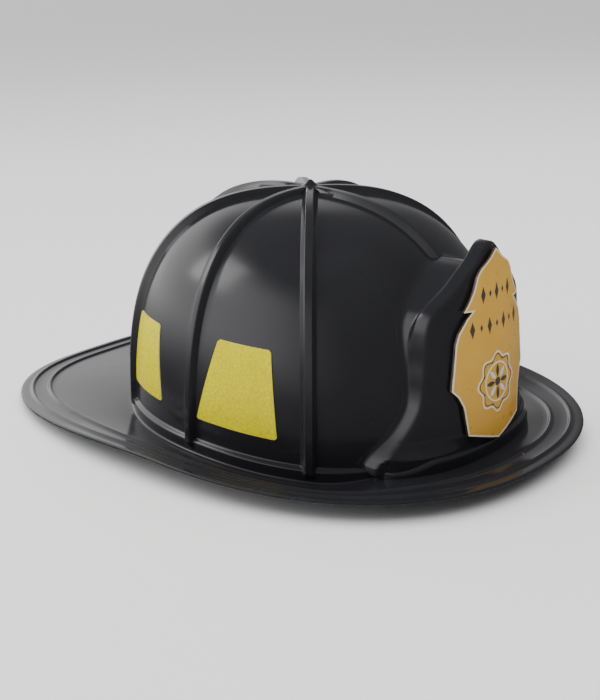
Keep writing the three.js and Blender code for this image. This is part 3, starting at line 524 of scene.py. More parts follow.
def hood_wall(plate, hood, normal, start):
    """Rows from the plate's edge back to the dome, a small fillet there, and a tuck inside it."""
    back = np.maximum(face_y(*plate.T) + SHIELD["thickness"], start + HOOD["least_plate"])
    before, after = HOOD["blend_before"], HOOD["blend_after"]

    def at(y):
        return lerp(plate, hood, smoothstep(y - back, -before, after)[:, None])

    deepest = np.full_like(start, HOOD["deepest_y"])
    contact = bisected(start, deepest, lambda y: y < dome_y(*at(y).T), 30)
    contact = np.maximum(contact, start + HOOD["least_wall"])
    fillet = np.clip(contact - start - 0.5, HOOD["least_fillet"], HOOD["fillet"])
    last = contact - fillet
    marks = [start, np.minimum(back - before, last), np.minimum(back + after, last), last]
    depths = [lerp(near, far, share) for near, far, count in zip(marks, marks[1:], (2, 12, 7))
              for share in np.linspace(0, 1, count + 1)[1:]]
    rows = [np.stack([at(y)[:, 0], y, at(y)[:, 1]], -1) for y in depths]
    touch = np.stack([at(contact)[:, 0], contact, at(contact)[:, 1]], -1)
    foot = at(contact) + normal * fillet[:, None]
    landed = np.stack([np.maximum(foot[:, 0], 0), dome_y(*foot.T), foot[:, 1]], -1)
    wall = rows[-1]
    for s in np.linspace(0, 1, 6)[1:]:
        rows.append((1 - s) ** 2 * wall + 2 * s * (1 - s) * touch + s * s * landed)
    rows.append(landed + (0, HOOD["tuck"], 0))
    return rows


def ledge(inset):
    """The low step that carries the base ring round the front of the shield."""
    half = LEDGE["half_width"] - 0.5 - inset
    x = half * np.sin(np.linspace(-math.pi / 2, math.pi / 2, 91))
    tail = smoothstep(np.abs(x), *LEDGE["top_tail"])
    top = lerp(LEDGE["height"], LEDGE["tail_height"], tail) - inset
    tail = smoothstep(np.abs(x), *LEDGE["bottom_tail"])
    low = (np.full_like(x, ROOM_FLOOR) if inset
           else lerp(LEDGE["bottom"], LEDGE["tail_bottom"], tail))
    y = np.minimum(ledge_y(x * LEDGE["half_width"] / half) + inset, LEDGE["tail_y"])
    bend = LEDGE["hollow_round"] if inset else LEDGE["round"]
    rows = [(y, low), (y, lerp(low, top - bend, 0.5))]
    for angle in np.linspace(0, math.pi / 2, 8):
        rows.append((y + bend * (1 - math.cos(angle)), top - bend * (1 - math.sin(angle))))
    back = np.full_like(x, LEDGE["back_y"])
    rows += [(lerp(y + bend, back, 0.5), top), (back, top), (back, low), (lerp(y, back, 0.5), low)]
    loops = np.array([np.stack([x, py, pz], -1) for py, pz in rows]).transpose(1, 0, 2)
    return new_object("ledge", loops.reshape(-1, 3), capped_faces(*loops.shape[:2]))


def hood_hollow():
    """The space inside the hood, open to the dome and below."""
    inset = DOME["wall"]
    line = rounded(HOOD_OUTLINE)
    z = np.concatenate([[ROOM_FLOOR], np.linspace(HOOD_OUTLINE[0][1], HOOD["top"], 60)])
    half = np.interp(z, line[:, 1], line[:, 0])
    thicker = np.clip((z - HOOD["thicker_from"]) / HOOD["thicker_over"], 0, 1)
    half = np.maximum(half - inset * (1 + thicker), 0.5)
    across = np.linspace(-1, 1, 31)
    loops = []
    for height, width in zip(z, half):
        x = across * width
        front = np.column_stack([x, face_y(x, max(height, 0)) + inset + 0.5])
        back = np.column_stack([x[::-1], np.full_like(x, HOOD["back_y"])])
        loops.append(level(np.concatenate([front, back]), height))
    return loft("hollow", loops)


def build_shell():
    shell = keep_normals(dome_and_brim())
    for block in (shield_block(), ledge(0)):
        keep_normals(block)
        combine(block, keep_normals(room(), -1), "DIFFERENCE")
        combine(shell, block, "UNION")
    for hollow in (hood_hollow(), ledge(DOME["wall"])):
        combine(shell, keep_normals(hollow, -1), "DIFFERENCE")
    combine(shell, keep_normals(build_sockets()), "UNION")
    restore_normals(shell)
    return shell


# ---------------------------------------------------------------- materials

def new_material(name, color, roughness, **sockets):
    """A material with the shader's own values set: Coat_Weight stands for "Coat Weight"."""
    material = bpy.data.materials.new(name)
    material.use_nodes = True
    shader = material.node_tree.nodes["Principled BSDF"]
    shader.inputs["Base Color"].default_value = (*color, 1)
    shader.inputs["Roughness"].default_value = roughness
    for key, value in sockets.items():
        shader.inputs[key.replace("_", " ")].default_value = value
    return material


def node(material, kind, inputs=(), **settings):
    """A node with its inputs set: a socket is linked, and anything else is its value."""
    made = material.node_tree.nodes.new(kind)
    for key, value in settings.items():
        setattr(made, key, value)
    for key, value in dict(inputs).items():
        if isinstance(value, bpy.types.NodeSocket):
            material.node_tree.links.new(value, made.inputs[key])
        else:
            made.inputs[key].default_value = value
    return made


def coordinates(material, scale=(1, 1, 1), attribute=None):
    if attribute:
        source = node(material, "ShaderNodeAttribute", attribute_name=attribute).outputs["Vector"]
    else:
        source = node(material, "ShaderNodeTexCoord").outputs["Object"]
    return node(material, "ShaderNodeMapping", {"Vector": source, "Scale": scale}).outputs[0]


def noise(material, scale, detail=3.0, stretch=(1, 1, 1)):
    place = coordinates(material, stretch)
    made = node(material, "ShaderNodeTexNoise", {"Vector": place, "Scale": scale, "Detail": detail})
    return made.outputs["Fac"]


def cells(material, scale, feature="F1"):
    inputs = {"Vector": coordinates(material), "Scale": scale}
    return node(material, "ShaderNodeTexVoronoi", inputs, feature=feature).outputs["Distance"]


def math_node(material, operation, a, b=0.0):
    return node(material, "ShaderNodeMath", {0: a, 1: b}, operation=operation).outputs[0]


def ranged(material, value, low, high, out_low=0.0, out_high=1.0, **settings):
    inputs = {"Value": value, "From Min": low, "From Max": high, "To Min": out_low,
              "To Max": out_high}
    return node(material, "ShaderNodeMapRange", inputs, **settings).outputs["Result"]


def spread(material, value, out_low=0.0, out_high=1.0):
    """Noise, whose values lie about the middle, stretched over a range."""
    return ranged(material, value, 0.3, 0.7, out_low, out_high)


def mixed(material, share, a, b):
    made = node(material, "ShaderNodeMix", data_type="RGBA")
    tree = material.node_tree
    for socket, value in ((made.inputs[0], share), (made.inputs[6], a), (made.inputs[7], b)):
        if isinstance(value, bpy.types.NodeSocket):
            tree.links.new(value, socket)
        else:
            socket.default_value = (*value, 1) if isinstance(value, tuple) else value
    return made.outputs[2]


def feed(material, socket, value):
    shader = material.node_tree.nodes["Principled BSDF"]
    material.node_tree.links.new(value, shader.inputs[socket])


def relief(material, *layers):
    """Bumps on each other, each as (height, depth in millimetres)."""
    normal = None
    for height, depth in layers:
        inputs = {"Height": height, "Strength": 1.0, "Distance": depth * MM}
        if normal is not None:
            inputs["Normal"] = normal
        normal = node(material, "ShaderNodeBump", inputs).outputs[0]
    feed(material, "Normal", normal)


def gloss_plastic():
    """Black moulded plastic: faint flow waves, fine scratches and a few specks of dust."""
    m = new_material("shell_plastic", (0.012, 0.012, 0.014), 0.16, IOR=1.5)
    handling = noise(m, 22, 5)
    scratches = noise(m, 240, 2, (1, 9, 1))
    worn = math_node(m, "ADD", handling, math_node(m, "MULTIPLY", scratches, 0.35))
    feed(m, "Roughness", ranged(m, worn, 0.4, 0.95, 0.11, 0.25))
    dust = ranged(m, cells(m, 42), 0.012, 0.03, 0.55, 0.0)
    tone = mixed(m, handling, (0.010, 0.010, 0.012), (0.017, 0.017, 0.020))
    feed(m, "Base Color", mixed(m, dust, tone, (0.20, 0.19, 0.18)))
    relief(m, (noise(m, 16, 2), 0.35), (noise(m, 900, 2), 0.003))
    return m


def printed_film(name, color, color_2, roughness=0.32):
    """Ink on a sheet, with a clear gloss over it."""
    m = new_material(name, color, roughness, Coat_Weight=0.6, Coat_Roughness=0.12)
    feed(m, "Base Color", mixed(m, spread(m, noise(m, 26, 4)), color, color_2))
    feed(m, "Roughness", spread(m, noise(m, 120, 3), roughness - 0.06, roughness + 0.08))
    relief(m, (noise(m, 700, 2), 0.002), (noise(m, 40, 2), 0.05))
    return m


def reflective_film():
    """Yellow film over cells of glass beads."""
    m = new_material("reflective_yellow", (0.74, 0.64, 0.0), 0.3, Specular_IOR_Level=0.12)
    cell = ranged(m, cells(m, 420, "DISTANCE_TO_EDGE"), 0.02, 0.14)
    tone = mixed(m, spread(m, noise(m, 30, 3)), (0.68, 0.59, 0.0), (0.80, 0.70, 0.0))
    feed(m, "Base Color", mixed(m, cell, (0.58, 0.50, 0.0), tone))
    feed(m, "Roughness", spread(m, noise(m, 60, 3), 0.22, 0.38))
    relief(m, (cell, 0.012), (noise(m, 35, 2), 0.25))
    return m


def cut_edge():
    m = new_material("film_edge", (0.72, 0.68, 0.35), 0.5)
    feed(m, "Base Color", mixed(m, noise(m, 300, 3), (0.60, 0.55, 0.20), (0.80, 0.78, 0.50)))
    return m


def satin_plastic(name="suspension_plastic", tone=0.024, grain=0.02, scale=1500):
    """Satin moulded nylon with a fine spark-eroded grain, polished where it rubs."""
    m = new_material(name, (tone, tone, tone * 1.08), 0.45)
    wear = noise(m, 38, 4)
    feed(m, "Roughness", spread(m, wear, 0.36, 0.58))
    feed(m, "Base Color", mixed(m, wear, (tone * 0.8,) * 3, (tone * 1.5, tone * 1.5, tone * 1.6)))
    relief(m, (noise(m, scale, 3), grain), (noise(m, 60, 2), 0.08))
    return m


def plated_steel():
    """Zinc plate with fine turning marks and dull spots."""
    m = new_material("plated_steel", (0.62, 0.62, 0.64), 0.3, Metallic=1.0)
    spots = noise(m, 160, 4)
    feed(m, "Roughness", ranged(m, spots, 0.3, 0.75, 0.2, 0.46))
    feed(m, "Base Color", mixed(m, spots, (0.50, 0.50, 0.53), (0.70, 0.69, 0.68)))
    relief(m, (noise(m, 1400, 2, (1, 1, 6)), 0.006))
    return m


WEAVE = dict(rib=1.25, twill=1.7)


def woven_tape():
    """Nylon webbing: a twill of warp and weft drawn along each strap's own length, with painted
    shade in the gaps between the threads.
    """
    m = new_material("woven_tape", (0.026, 0.026, 0.029), 0.75, Sheen_Weight=0.35,
                     Sheen_Roughness=0.4)
    spot = node(m, "ShaderNodeSeparateXYZ", {0: coordinates(m, attribute="strap_mm")})
    along, across = spot.outputs[0], spot.outputs[1]
    rib, twill = (2 * math.pi / WEAVE[key] for key in ("rib", "twill"))
    lean = math_node(m, "ADD", math_node(m, "MULTIPLY", along, twill),
                     math_node(m, "MULTIPLY", across, rib / 2))
    warp, weft = (math_node(m, "ABSOLUTE", math_node(m, "SINE", angle))
                  for angle in (math_node(m, "MULTIPLY", across, rib), lean))
    thread = math_node(m, "MULTIPLY", warp, weft)
    # Painted shade: the colour darkens where the threads are low, in the gaps of the weave.
    feed(m, "Base Color", mixed(m, thread, (0.010, 0.010, 0.011), (0.045, 0.045, 0.050)))
    feed(m, "Roughness", spread(m, noise(m, 300, 2), 0.66, 0.88))
    relief(m, (thread, 0.16), (noise(m, 3500, 2), 0.02))
    return m


def sewing_thread():
    m = new_material("sewing_thread", (0.10, 0.10, 0.11), 0.7)
    feed(m, "Base Color", mixed(m, noise(m, 2600, 2), (0.06, 0.06, 0.065), (0.16, 0.16, 0.17)))
    relief(m, (noise(m, 3000, 2, (1, 5, 1)), 0.05))
    return m


def brushed_knit():
    """Knit fabric over foam: small loops with painted shade between them, a soft nap, and lighter
    where it is rubbed.
    """
    m = new_material("brushed_knit", (0.055, 0.055, 0.06), 0.9, Sheen_Weight=0.6,
                     Sheen_Roughness=0.5)
    loops = cells(m, 900)
    nap = noise(m, 220, 5)
    # Painted shade: darker at the edges of each loop, where the knit is low.
    tone = mixed(m, ranged(m, loops, 0.1, 0.6), (0.085, 0.085, 0.092), (0.028, 0.028, 0.031))
    feed(m, "Base Color", mixed(m, ranged(m, nap, 0.45, 0.8, 0, 0.7), tone, (0.12, 0.12, 0.13)))
    relief(m, (ranged(m, loops, 0, 0.6, 1, 0), 0.22), (nap, 0.12))
    return m


def foam_tape():
    m = new_material("foam_tape", (0.03, 0.03, 0.032), 0.95)
    pores = cells(m, 1300)
    # Painted shade: darker in the pores, where the surface is sunk.
    feed(m, "Base Color", mixed(m, ranged(m, pores, 0.1, 0.5), (0.012,) * 3, (0.05,) * 3))
    relief(m, (pores, 0.25))
    return m


def natural_nylon():
    m = new_material("natural_nylon", (0.74, 0.71, 0.62), 0.42)
    tone = noise(m, 90, 4)
    feed(m, "Base Color", mixed(m, tone, (0.66, 0.62, 0.52), (0.80, 0.78, 0.70)))
    feed(m, "Roughness", spread(m, tone, 0.34, 0.5))
    relief(m, (noise(m, 1100, 2), 0.015))
    return m


def paint_faces(obj, *materials):
    obj.data.materials.clear()
    for material in materials:
        obj.data.materials.append(material)
    return obj


def paint_smooth(obj, material, angle=40):
    smooth(obj, angle)
    return paint_faces(obj, material)


# ---------------------------------------------------------------- badge and panels

def bent_sheet(name, flat, front, back, wrap=False):
    """A thin solid over a grid of flat (x, z) points: front and back give its y."""
    flat = np.asarray(flat, float)
    x, z = flat[..., 0], flat[..., 1]
    loops = np.concatenate([np.stack([x, front(x, z), z], -1),
                            np.stack([x, back(x, z), z], -1)[:, ::-1]], axis=1)
    if wrap:
        loops = np.concatenate([loops, loops[:1]])
    return loft(name, loops, ends=not wrap)


def badge_layer(depth):
    """The y of a surface that stands off the shield's face by a depth."""
    return lambda x, z: face_y(x, z, SHIELD["radius"] + depth)


BADGE = dict(standoff=1.5, face=2.7, border=0.8, print_lift=0.12, print_root=0.2,
             rows=((94, 11, 5), (77.5, 19, 7)), tall=(1.7, 4.4), short=(1.0, 1.8), centre=46.5,
             rings=((15.2, 1.1, 8, 1.3), (13.6, 0.5, 8, 1.2), (10.6, 0.9)), ray=(2.6, 9.2, 1.25),
             hub=(2.2, 2.15), bead=(11.4, 12.9, 0.5))
SHARPEST = 0.02


def ink(name, flat, material, wrap=False):
    front, back = BADGE["face"] + BADGE["print_lift"], BADGE["face"] - BADGE["print_root"]
    sheet = bent_sheet(name, flat, badge_layer(front), badge_layer(back), wrap)
    return paint_faces(sheet, material)


def lozenge(cx, cz, half_x, half_z):
    """A grid that fills a lozenge with slightly hollow sides."""
    rows = []
    for t in np.linspace(-1, 1, 13):
        half = max(half_x * (1 - abs(t)) ** 1.15, SHARPEST)
        rows.append([(cx + half * u, cz + t * half_z) for u in (-1, 0, 1)])
    return rows


def ring(cz, radius, width, lobes=0, depth=0.0, count=96):
    """A ring round the badge's middle line, plain or with lobes."""
    turn = np.linspace(0, 2 * math.pi, count, endpoint=False)
    outer = radius + depth * np.cos(lobes * turn)
    return [[(r * math.sin(a), cz + r * math.cos(a)) for r in np.linspace(o, o - width, 3)]
            for a, o in zip(turn, outer)]


def petal(cz, angle, near, far, half):
    """One ray of the rosette."""
    c, s = math.cos(angle), math.sin(angle)
    rows = []
    for t in np.linspace(0, 1, 11):
        width = max(half * math.sin(math.pi * t) ** 0.8, SHARPEST)
        r = lerp(near, far, t)
        rows.append([(r * s + w * c, cz + r * c - w * s) for w in (-width, 0, width)])
    return rows


def border_strip():
    """A grid along the badge's outline, mitred at its corners."""
    outline = np.array(BADGE_OUTLINE, float)
    outline = np.vstack([outline, (outline[-2:0:-1] * (-1, 1))])
    a, b = unit(outline - np.roll(outline, 1, 0)), unit(np.roll(outline, -1, 0) - outline)
    inward = unit(np.stack([-(a + b)[:, 1], (a + b)[:, 0]], -1))
    mitre = 1 / np.maximum(np.abs((inward * np.stack([-a[:, 1], a[:, 0]], -1)).sum(1)), 0.4)
    inset = outline + inward * (BADGE["border"] * mitre)[:, None]
    rows = []
    for here, there, inner, next_inner in zip(outline, np.roll(outline, -1, 0), inset,
                                              np.roll(inset, -1, 0)):
        steps = max(int(np.linalg.norm(there - here) / 2.5), 1)
        for s in np.arange(steps) / steps:
            near, far = lerp(here, there, s), lerp(inner, next_inner, s)
            rows.append([tuple(lerp(near, far, w)) for w in (0, 0.5, 1)])
    return rows


def badge_plate(face, edge):
    """The badge's sheet, bent to the shield."""
    outline = np.array(BADGE_OUTLINE, float)
    levels = np.unique(np.concatenate([outline[:, 1], np.linspace(16, 115, 67)]))
    flat = []
    for z in levels:
        half = max(float(np.interp(z, outline[:, 1], outline[:, 0])), 0.25)
        flat.append([(half * u, z) for u in np.linspace(-1, 1, 21)])
    badge = bent_sheet("front_badge", flat, badge_layer(BADGE["face"]),
                       badge_layer(BADGE["standoff"]))
    paint_faces(badge, face, edge)
    for polygon in badge.data.polygons:
        polygon.material_index = 1 if abs(polygon.normal.y) < 0.25 else 0
    return badge


def build_badge():
    """A plate with a border, and a plain ornament in place of lettering."""
    gold = printed_film("badge_gold", (0.65, 0.36, 0.035), (0.57, 0.30, 0.027))
    cream = printed_film("badge_border", (0.80, 0.69, 0.46), (0.72, 0.61, 0.40))
    dark = printed_film("badge_ink", (0.045, 0.032, 0.022), (0.06, 0.045, 0.03), 0.4)
    grey = printed_film("badge_grey", (0.50, 0.50, 0.50), (0.66, 0.66, 0.66))
    badge = badge_plate(gold, dark)
    parts = [ink("border", border_strip(), cream, wrap=True)]
    for cz, half_span, count in BADGE["rows"]:
        for i, cx in enumerate(np.linspace(-half_span, half_span, count)):
            size = BADGE["short"] if i % 2 else BADGE["tall"]
            parts.append(ink("lozenge", lozenge(cx, cz, *size), dark))
    centre = BADGE["centre"]
    for sizes, color in zip(BADGE["rings"], (cream, dark, cream)):
        parts.append(ink("ring", ring(centre, *sizes), color, wrap=True))
    for i in range(8):
        ray = petal(centre, i * math.pi / 4, *BADGE["ray"])
        parts.append(ink("ray", ray, grey if i % 2 else dark))
    parts.append(ink("hub", ring(centre, *BADGE["hub"], count=32), dark, wrap=True))
    for i in range(8):
        bead = petal(centre, (i + 0.5) * math.pi / 4, *BADGE["bead"])
        parts.append(ink("bead", bead, dark))
    join(badge, parts)
    smooth(badge, 30)
    return badge


def join(base, others):
    with bpy.context.temp_override(active_object=base, object=base,
                                   selected_editable_objects=[base, *others],
                                   selected_objects=[base, *others]):
        bpy.ops.object.join()
    return base


PANELS = dict(side=dict(top=(62, 83.5), bottom=(59.6, 92.2), low=20, high=65.8),
              rear=dict(top=(116, 134), bottom=(111.8, 135.4), low=20.6, high=62.5))
FILM = dict(outer=0.55, inner=0.08, corner=1.2, dent_depth=0.45, dent_u=0.06, dent_v=0.62,
            dent_width=0.05, dent_height=0.03)


def build_panel(name, shape, side, dent):
    """Film stuck to the dome, with rounded corners and, on one, a small dent near its edge."""
    rows, columns = 40, 30
    v, u = np.meshgrid(np.linspace(0, 1, rows), np.linspace(0, 1, columns), indexing="ij")
    z = lerp(shape["low"], shape["high"], v)
    start, end = (lerp(shape["bottom"][k], shape["top"][k], v) for k in (0, 1))
    from_end = np.minimum(v, 1 - v) * (shape["high"] - shape["low"])
    missing = np.clip(FILM["corner"] - from_end, 0, None)
    trim = FILM["corner"] - np.sqrt(np.maximum(FILM["corner"] ** 2 - missing ** 2, 0))
    shrink = trim / np.radians(end - start) / DOME["half_width"]
    azimuth = side * np.radians(lerp(start, end, shrink + u * (1 - 2 * shrink)))
    base = plan_radius(azimuth) * profile(z)
    off_u = (u - FILM["dent_u"]) / FILM["dent_width"]
    off_v = (v - FILM["dent_v"]) / FILM["dent_height"]
    lift = FILM["outer"] - dent * FILM["dent_depth"] * np.exp(-off_u ** 2 - off_v ** 2)
    outer = polar(base + lift, azimuth, z)
    inner = polar(base + FILM["inner"], azimuth, z)
    panel = loft(name, np.concatenate([outer, inner[:, ::-1]], axis=1))
    paint_faces(panel, FILM_MATERIAL, FILM_EDGE)
    for face in panel.data.polygons:
        middle = face.center
        outward = Vector((middle.x, middle.y - SHIFT[1] * MM, 0)).normalized()
        face.material_index = 1 if abs(face.normal.dot(outward)) < 0.5 else 0
    smooth(panel, 30)
    return panel


# ---------------------------------------------------------------- suspension

GAP = 0.3
HEADBAND = dict(half_width=74.9, centre_y=-13, half_length=90, power=2.26, thickness=1.6, low=4,
                high=32, end=24, panel_half=9.5, panel_depth=0.35, corner=0.7)
STRAP = dict(width=20, thickness=1, cross_y=-18, shoulder=34, cross_top=100, long_top=101.6,
             rear_y=89.5, rear_shoulder=60, rear_end=46, low=9, power=2.3, corner=0.45,
             box_middle=33, box_half=6, box_margin=2.5)
KEY = dict(width=14, thickness=2, plate=1.6, socket_low=12, socket_high=22, top=27,
           front_azimuth=math.radians(43), rear_lift=38, socket_wall=1.3, socket_tuck=1.2,
           socket_side=3, socket_bevel=0.5)
RIVET = dict(head=3.6, shank=1.6, head_height=0.6, rim=0.1, bulge=0.4, chamfer=0.15, roll=2.45,
             roll_width=0.95, roll_height=0.6, roll_middle=0.5, hole=1.3, hole_depth=1.7)
SCREW = dict(thread_root=0.82, pitch=0.5, crown=0.55, recess=0.62, recess_depth=0.7, blade=0.22)
CRADLE = dict(half_width=76.7, bend_y=42, depth=41, power=2.02)
KNOB = dict(axis_z=18, radius=13, lobes=12, lobe_depth=0.9, front=93.9, back=99.3, bore=3.3,
            bore_end=1.9, well=2.6, well_depth=1.4, bend=1.1)
BROW_PAD = dict(offset=4.6, thickness=3.6, end=0.16, low=3, high=33, channels=11)
NAPE_PAD = dict(offset=4, thickness=4.4, end=math.radians(48), low=4.5, high=31.5, channels=4)
CROWN_PAD = dict(radius=26, low=89.4, high=97.4, ring=15, ring_squeeze=0.45, ring_half=1.8,
                 middle_squeeze=0.35, middle_half=3)
CHANNEL = dict(squeeze=0.62, half=1.7, stitch_reach=11, stitch_step=3.1)
UP = np.array([0.0, 0.0, 1.0])


def rounded_section(thickness, width, corner, across=13, arc=4):
    """A closed section as (out, along) offsets, with round corners."""
    n, w = thickness / 2 - corner, width / 2 - corner
    points = []
    for cn, cw, start in ((n, w, 0), (-n, w, 90), (-n, -w, 180), (n, -w, 270)):
        for angle in np.radians(np.linspace(start, start + 90, arc)):
            points.append((cn + corner * math.cos(angle), cw + corner * math.sin(angle)))
        if start in (90, 270):
            way = -1 if start == 90 else 1
            points.extend((way * thickness / 2, way * w * t)
                          for t in np.linspace(-1, 1, across)[1:-1])
    return np.array(points)


def directions(path, wide):
    """Unit vectors along a path and out from it, and the length run at each of its points."""
    tangent = unit(np.gradient(path, axis=0))
    steps = np.linalg.norm(np.diff(path, axis=0), axis=1)
    return tangent, np.cross(tangent, wide), np.concatenate([[0], np.cumsum(steps)])


def sweep(name, path, wide, section):
    """A band along a path, its width lying one way, with softened ends."""
    tangent, normal, length = directions(path, wide)
    out, along = section[:, :1], section[:, 1:]
    loops = [point + out * n + along * wide for point, n in zip(path, normal)]
    smaller, beyond = 0.94, 0.25
    first = path[0] + (loops[0] - path[0]) * smaller - beyond * tangent[0]
    last = path[-1] + (loops[-1] - path[-1]) * smaller + beyond * tangent[-1]
    loops = np.array([first, *loops, last])
    rows, columns = loops.shape[:2]
    obj = new_object(name, loops.reshape(-1, 3), capped_faces(rows, columns), shell_frame=False)
    run = np.repeat([length[0], *length, length[-1]], columns)
    marks = np.stack([run, np.tile(section[:, 1], rows), np.tile(section[:, 0], rows)], -1)
    stored = obj.data.attributes.new("strap_mm", "FLOAT_VECTOR", "POINT")
    stored.data.foreach_set("vector", marks.astype(np.float32).ravel())
    smooth(obj, 40)
    return obj


def arc(centre, half_x, half_y, power, start, end, count):
    angle = np.linspace(start, end, count)
    c, s = np.cos(angle), np.sin(angle)
    return np.stack([centre[0] + half_x * np.sign(c) * np.abs(c) ** (2 / power),
                     centre[1] + half_y * np.sign(s) * np.abs(s) ** (2 / power)], -1)


def level(line, z=0.0):
    """A line in the plan, at a height."""
    return np.column_stack([line, np.full(len(line), z)])


def turned(name, outline, start, axis, sides=40):
    """A turned piece: an outline of (radius, distance) about an axis from a start point."""
    axis = np.asarray(axis, float)
    across = unit(np.cross(axis, UP if abs(axis[2]) < 0.9 else (0, 1, 0)))
    other = np.cross(axis, across)
    turn = np.linspace(0, 2 * math.pi, sides, endpoint=False)[:, None]
    spokes = np.cos(turn) * across + np.sin(turn) * other
    loops = np.array([np.asarray(start) + axis * d + spokes * r for r, d in outline])
    return loft(name, loops, shell_frame=False, ends=False)


def boxed(name, origin, out, spans):
    """A block with its spans given out from a point, across and up."""
    side = np.cross(out, UP)
    corners = [origin + out * spans[0][i] + side * spans[1][j] + UP * spans[2][k]
               for i in (0, 1) for j in (0, 1) for k in (0, 1)]
    faces = [(0, 1, 3, 2), (4, 6, 7, 5), (0, 4, 5, 1), (2, 3, 7, 6), (0, 2, 6, 4), (1, 5, 7, 3)]
    return new_object(name, corners, faces, shell_frame=False)


def bevelled(obj, width, angle=40):
    modifier = obj.modifiers.new("bevel", "BEVEL")
    modifier.width = width * MM
    modifier.segments = 3
    modifier.limit_method = "ANGLE"
    modifier.angle_limit = math.radians(angle)
    apply_modifiers(obj)
    smooth(obj, angle)
    return obj


def softened(node_name, width):
    """The CAD's moulding with its edges rounded."""
    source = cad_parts[node_name]
    obj = bpy.data.objects.new(f"{node_name}_moulding", source.data.copy())
    bpy.context.scene.collection.objects.link(obj)
    bm = bmesh.new()
    bm.from_mesh(obj.data)
    bmesh.ops.remove_doubles(bm, verts=bm.verts, dist=1e-6)
    bmesh.ops.dissolve_limit(bm, angle_limit=math.radians(1), verts=bm.verts, edges=bm.edges)
    bmesh.ops.connect_verts_concave(bm, faces=bm.faces)
    bm.to_mesh(obj.data)
    bm.free()
    return bevelled(paint_faces(obj, SATIN), width)


# ---------------------------------------------------------------- headband, keys and straps

def band_path(offset=0.0, start=math.pi, end=2 * math.pi, count=150):
    return arc((0, HEADBAND["centre_y"]), HEADBAND["half_width"] - offset,
               HEADBAND["half_length"] - offset, HEADBAND["power"], start, end, count)


def build_headband():
    """A band with a shallow panel along its outer face and rounded edges."""
    straight = np.linspace(HEADBAND["end"], HEADBAND["centre_y"], 12, endpoint=False)
    left = np.stack([np.full_like(straight, HEADBAND["half_width"]), straight], -1)
    line = np.concatenate([left * (-1, 1), band_path(), left[::-1]])
    middle = (HEADBAND["low"] + HEADBAND["high"]) / 2
    corner, panel_half = HEADBAND["corner"], HEADBAND["panel_half"]
    section = rounded_section(HEADBAND["thickness"], HEADBAND["high"] - HEADBAND["low"], corner, 41)
    outside = section[:, 0] > corner
    dip = 1 - smoothstep(np.abs(section[:, 1]), panel_half, panel_half + 0.8)
    section[:, 0] -= HEADBAND["panel_depth"] * dip * outside
    return paint_faces(sweep("headband_moulding", level(line, middle), UP, section), SATIN)


def lining_distance(start, out):
    """How far the dome's lining is from a point of the standing helmet."""
    def inside(reach):
        x, y, z = untilted(start + out * reach)
        edge = plan_radius(np.arctan2(x, -y), DOME["wall"]) * profile(z, DOME["wall"])
        return math.hypot(x, y) < edge

    return float(bisected(0.0, 40.0, inside, 30))


def key_stations():
    """Where each key hangs: a point on the outer face of what it holds, and its way out."""
    stations = []
    half = HEADBAND["thickness"] / 2
    for side in (-1, 1):
        angle = side * KEY["front_azimuth"] - math.pi / 2
        before, point, after = band_path(0, angle - 0.02, angle + 0.02, 3)
        along = unit(after - before)
        out = np.array([along[1], -along[0], 0])
        stations.append((np.array([*point, 0]) + out * (half + GAP), out))
    for side in (-1, 1):
        reach = HEADBAND["half_width"] + half + STRAP["thickness"] + 2 * GAP
        stations.append((np.array([side * reach, STRAP["cross_y"], 0]), np.array([side, 0, 0])))
    rear = (0, STRAP["rear_y"] + STRAP["thickness"] / 2 + GAP, KEY["rear_lift"])
    stations.append((np.array(rear), np.array([0, 1, 0])))
    return stations


def build_sockets():
    """The sockets on the dome's wall that the keys drop into."""
    sockets = []
    for origin, out in key_stations():
        wall = lining_distance(origin + UP * KEY["socket_high"], out)
        tongue = lining_distance(origin + UP * KEY["top"], out) - KEY["plate"] - KEY["thickness"]
        low, high, half = KEY["socket_low"], KEY["socket_high"], KEY["width"] / 2
        depth = (tongue - GAP - KEY["socket_wall"], wall + KEY["socket_tuck"])
        side = half + KEY["socket_side"]
        socket = boxed("socket", origin, out, (depth, (-side, side), (low, high)))
        depth = (tongue - GAP, tongue + KEY["thickness"] + GAP)
        side = half + GAP
        slot = boxed("slot", origin, out, (depth, (-side, side), (low - 2, high + 2)))
        sockets.append(bevelled(combine(socket, slot, "DIFFERENCE"), KEY["socket_bevel"]))
    return join(sockets[0], sockets[1:])


def build_rivet(node_name):
    """A rivet with a domed head at one end and a rolled one at the other, on the CAD's axis."""
    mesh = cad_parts[node_name].data
    axis = np.array(max(mesh.polygons, key=lambda face: face.area).normal)
    points = np.array([vertex.co for vertex in mesh.vertices]) / MM - SHIFT
    reach = points @ axis
    middle = points.mean(0)
    start = middle + axis * (reach.min() - middle @ axis)
    end = reach.max() - reach.min()
    head, shank, height = RIVET["head"], RIVET["shank"], RIVET["head_height"]
    chamfer = RIVET["chamfer"]
    dome = [(head * math.sin(a), RIVET["rim"] - RIVET["bulge"] * math.cos(a))
            for a in np.linspace(0, math.pi / 2, 9)]
    dome += [(head, height - chamfer), (head - chamfer, height), (shank, height),
             (shank, end - height)]
    rolled = [(RIVET["roll"] + RIVET["roll_width"] * math.cos(a),
               end - RIVET["roll_middle"] + RIVET["roll_height"] * math.sin(a))
              for a in np.linspace(-0.1, math.pi, 12)]
    depth = RIVET["hole_depth"]
    outline = [*dome, *rolled, (RIVET["hole"], end - depth + 0.1), (0, end - depth)]
    return paint_smooth(turned(f"{node_name}_turned", outline, start, axis), STEEL)


def cross_recess(origin, radius, depth):
    """Two crossed blades that cut a driver's recess, along +Y."""
    long, thin = ((-half, half) for half in (radius, radius * SCREW["blade"]))
    blades = [boxed("blade", origin, np.array([0, 1, 0]), ((-depth, 1), *sides))
              for sides in ((thin, long), (long, thin))]
    return combine(*blades, "UNION")


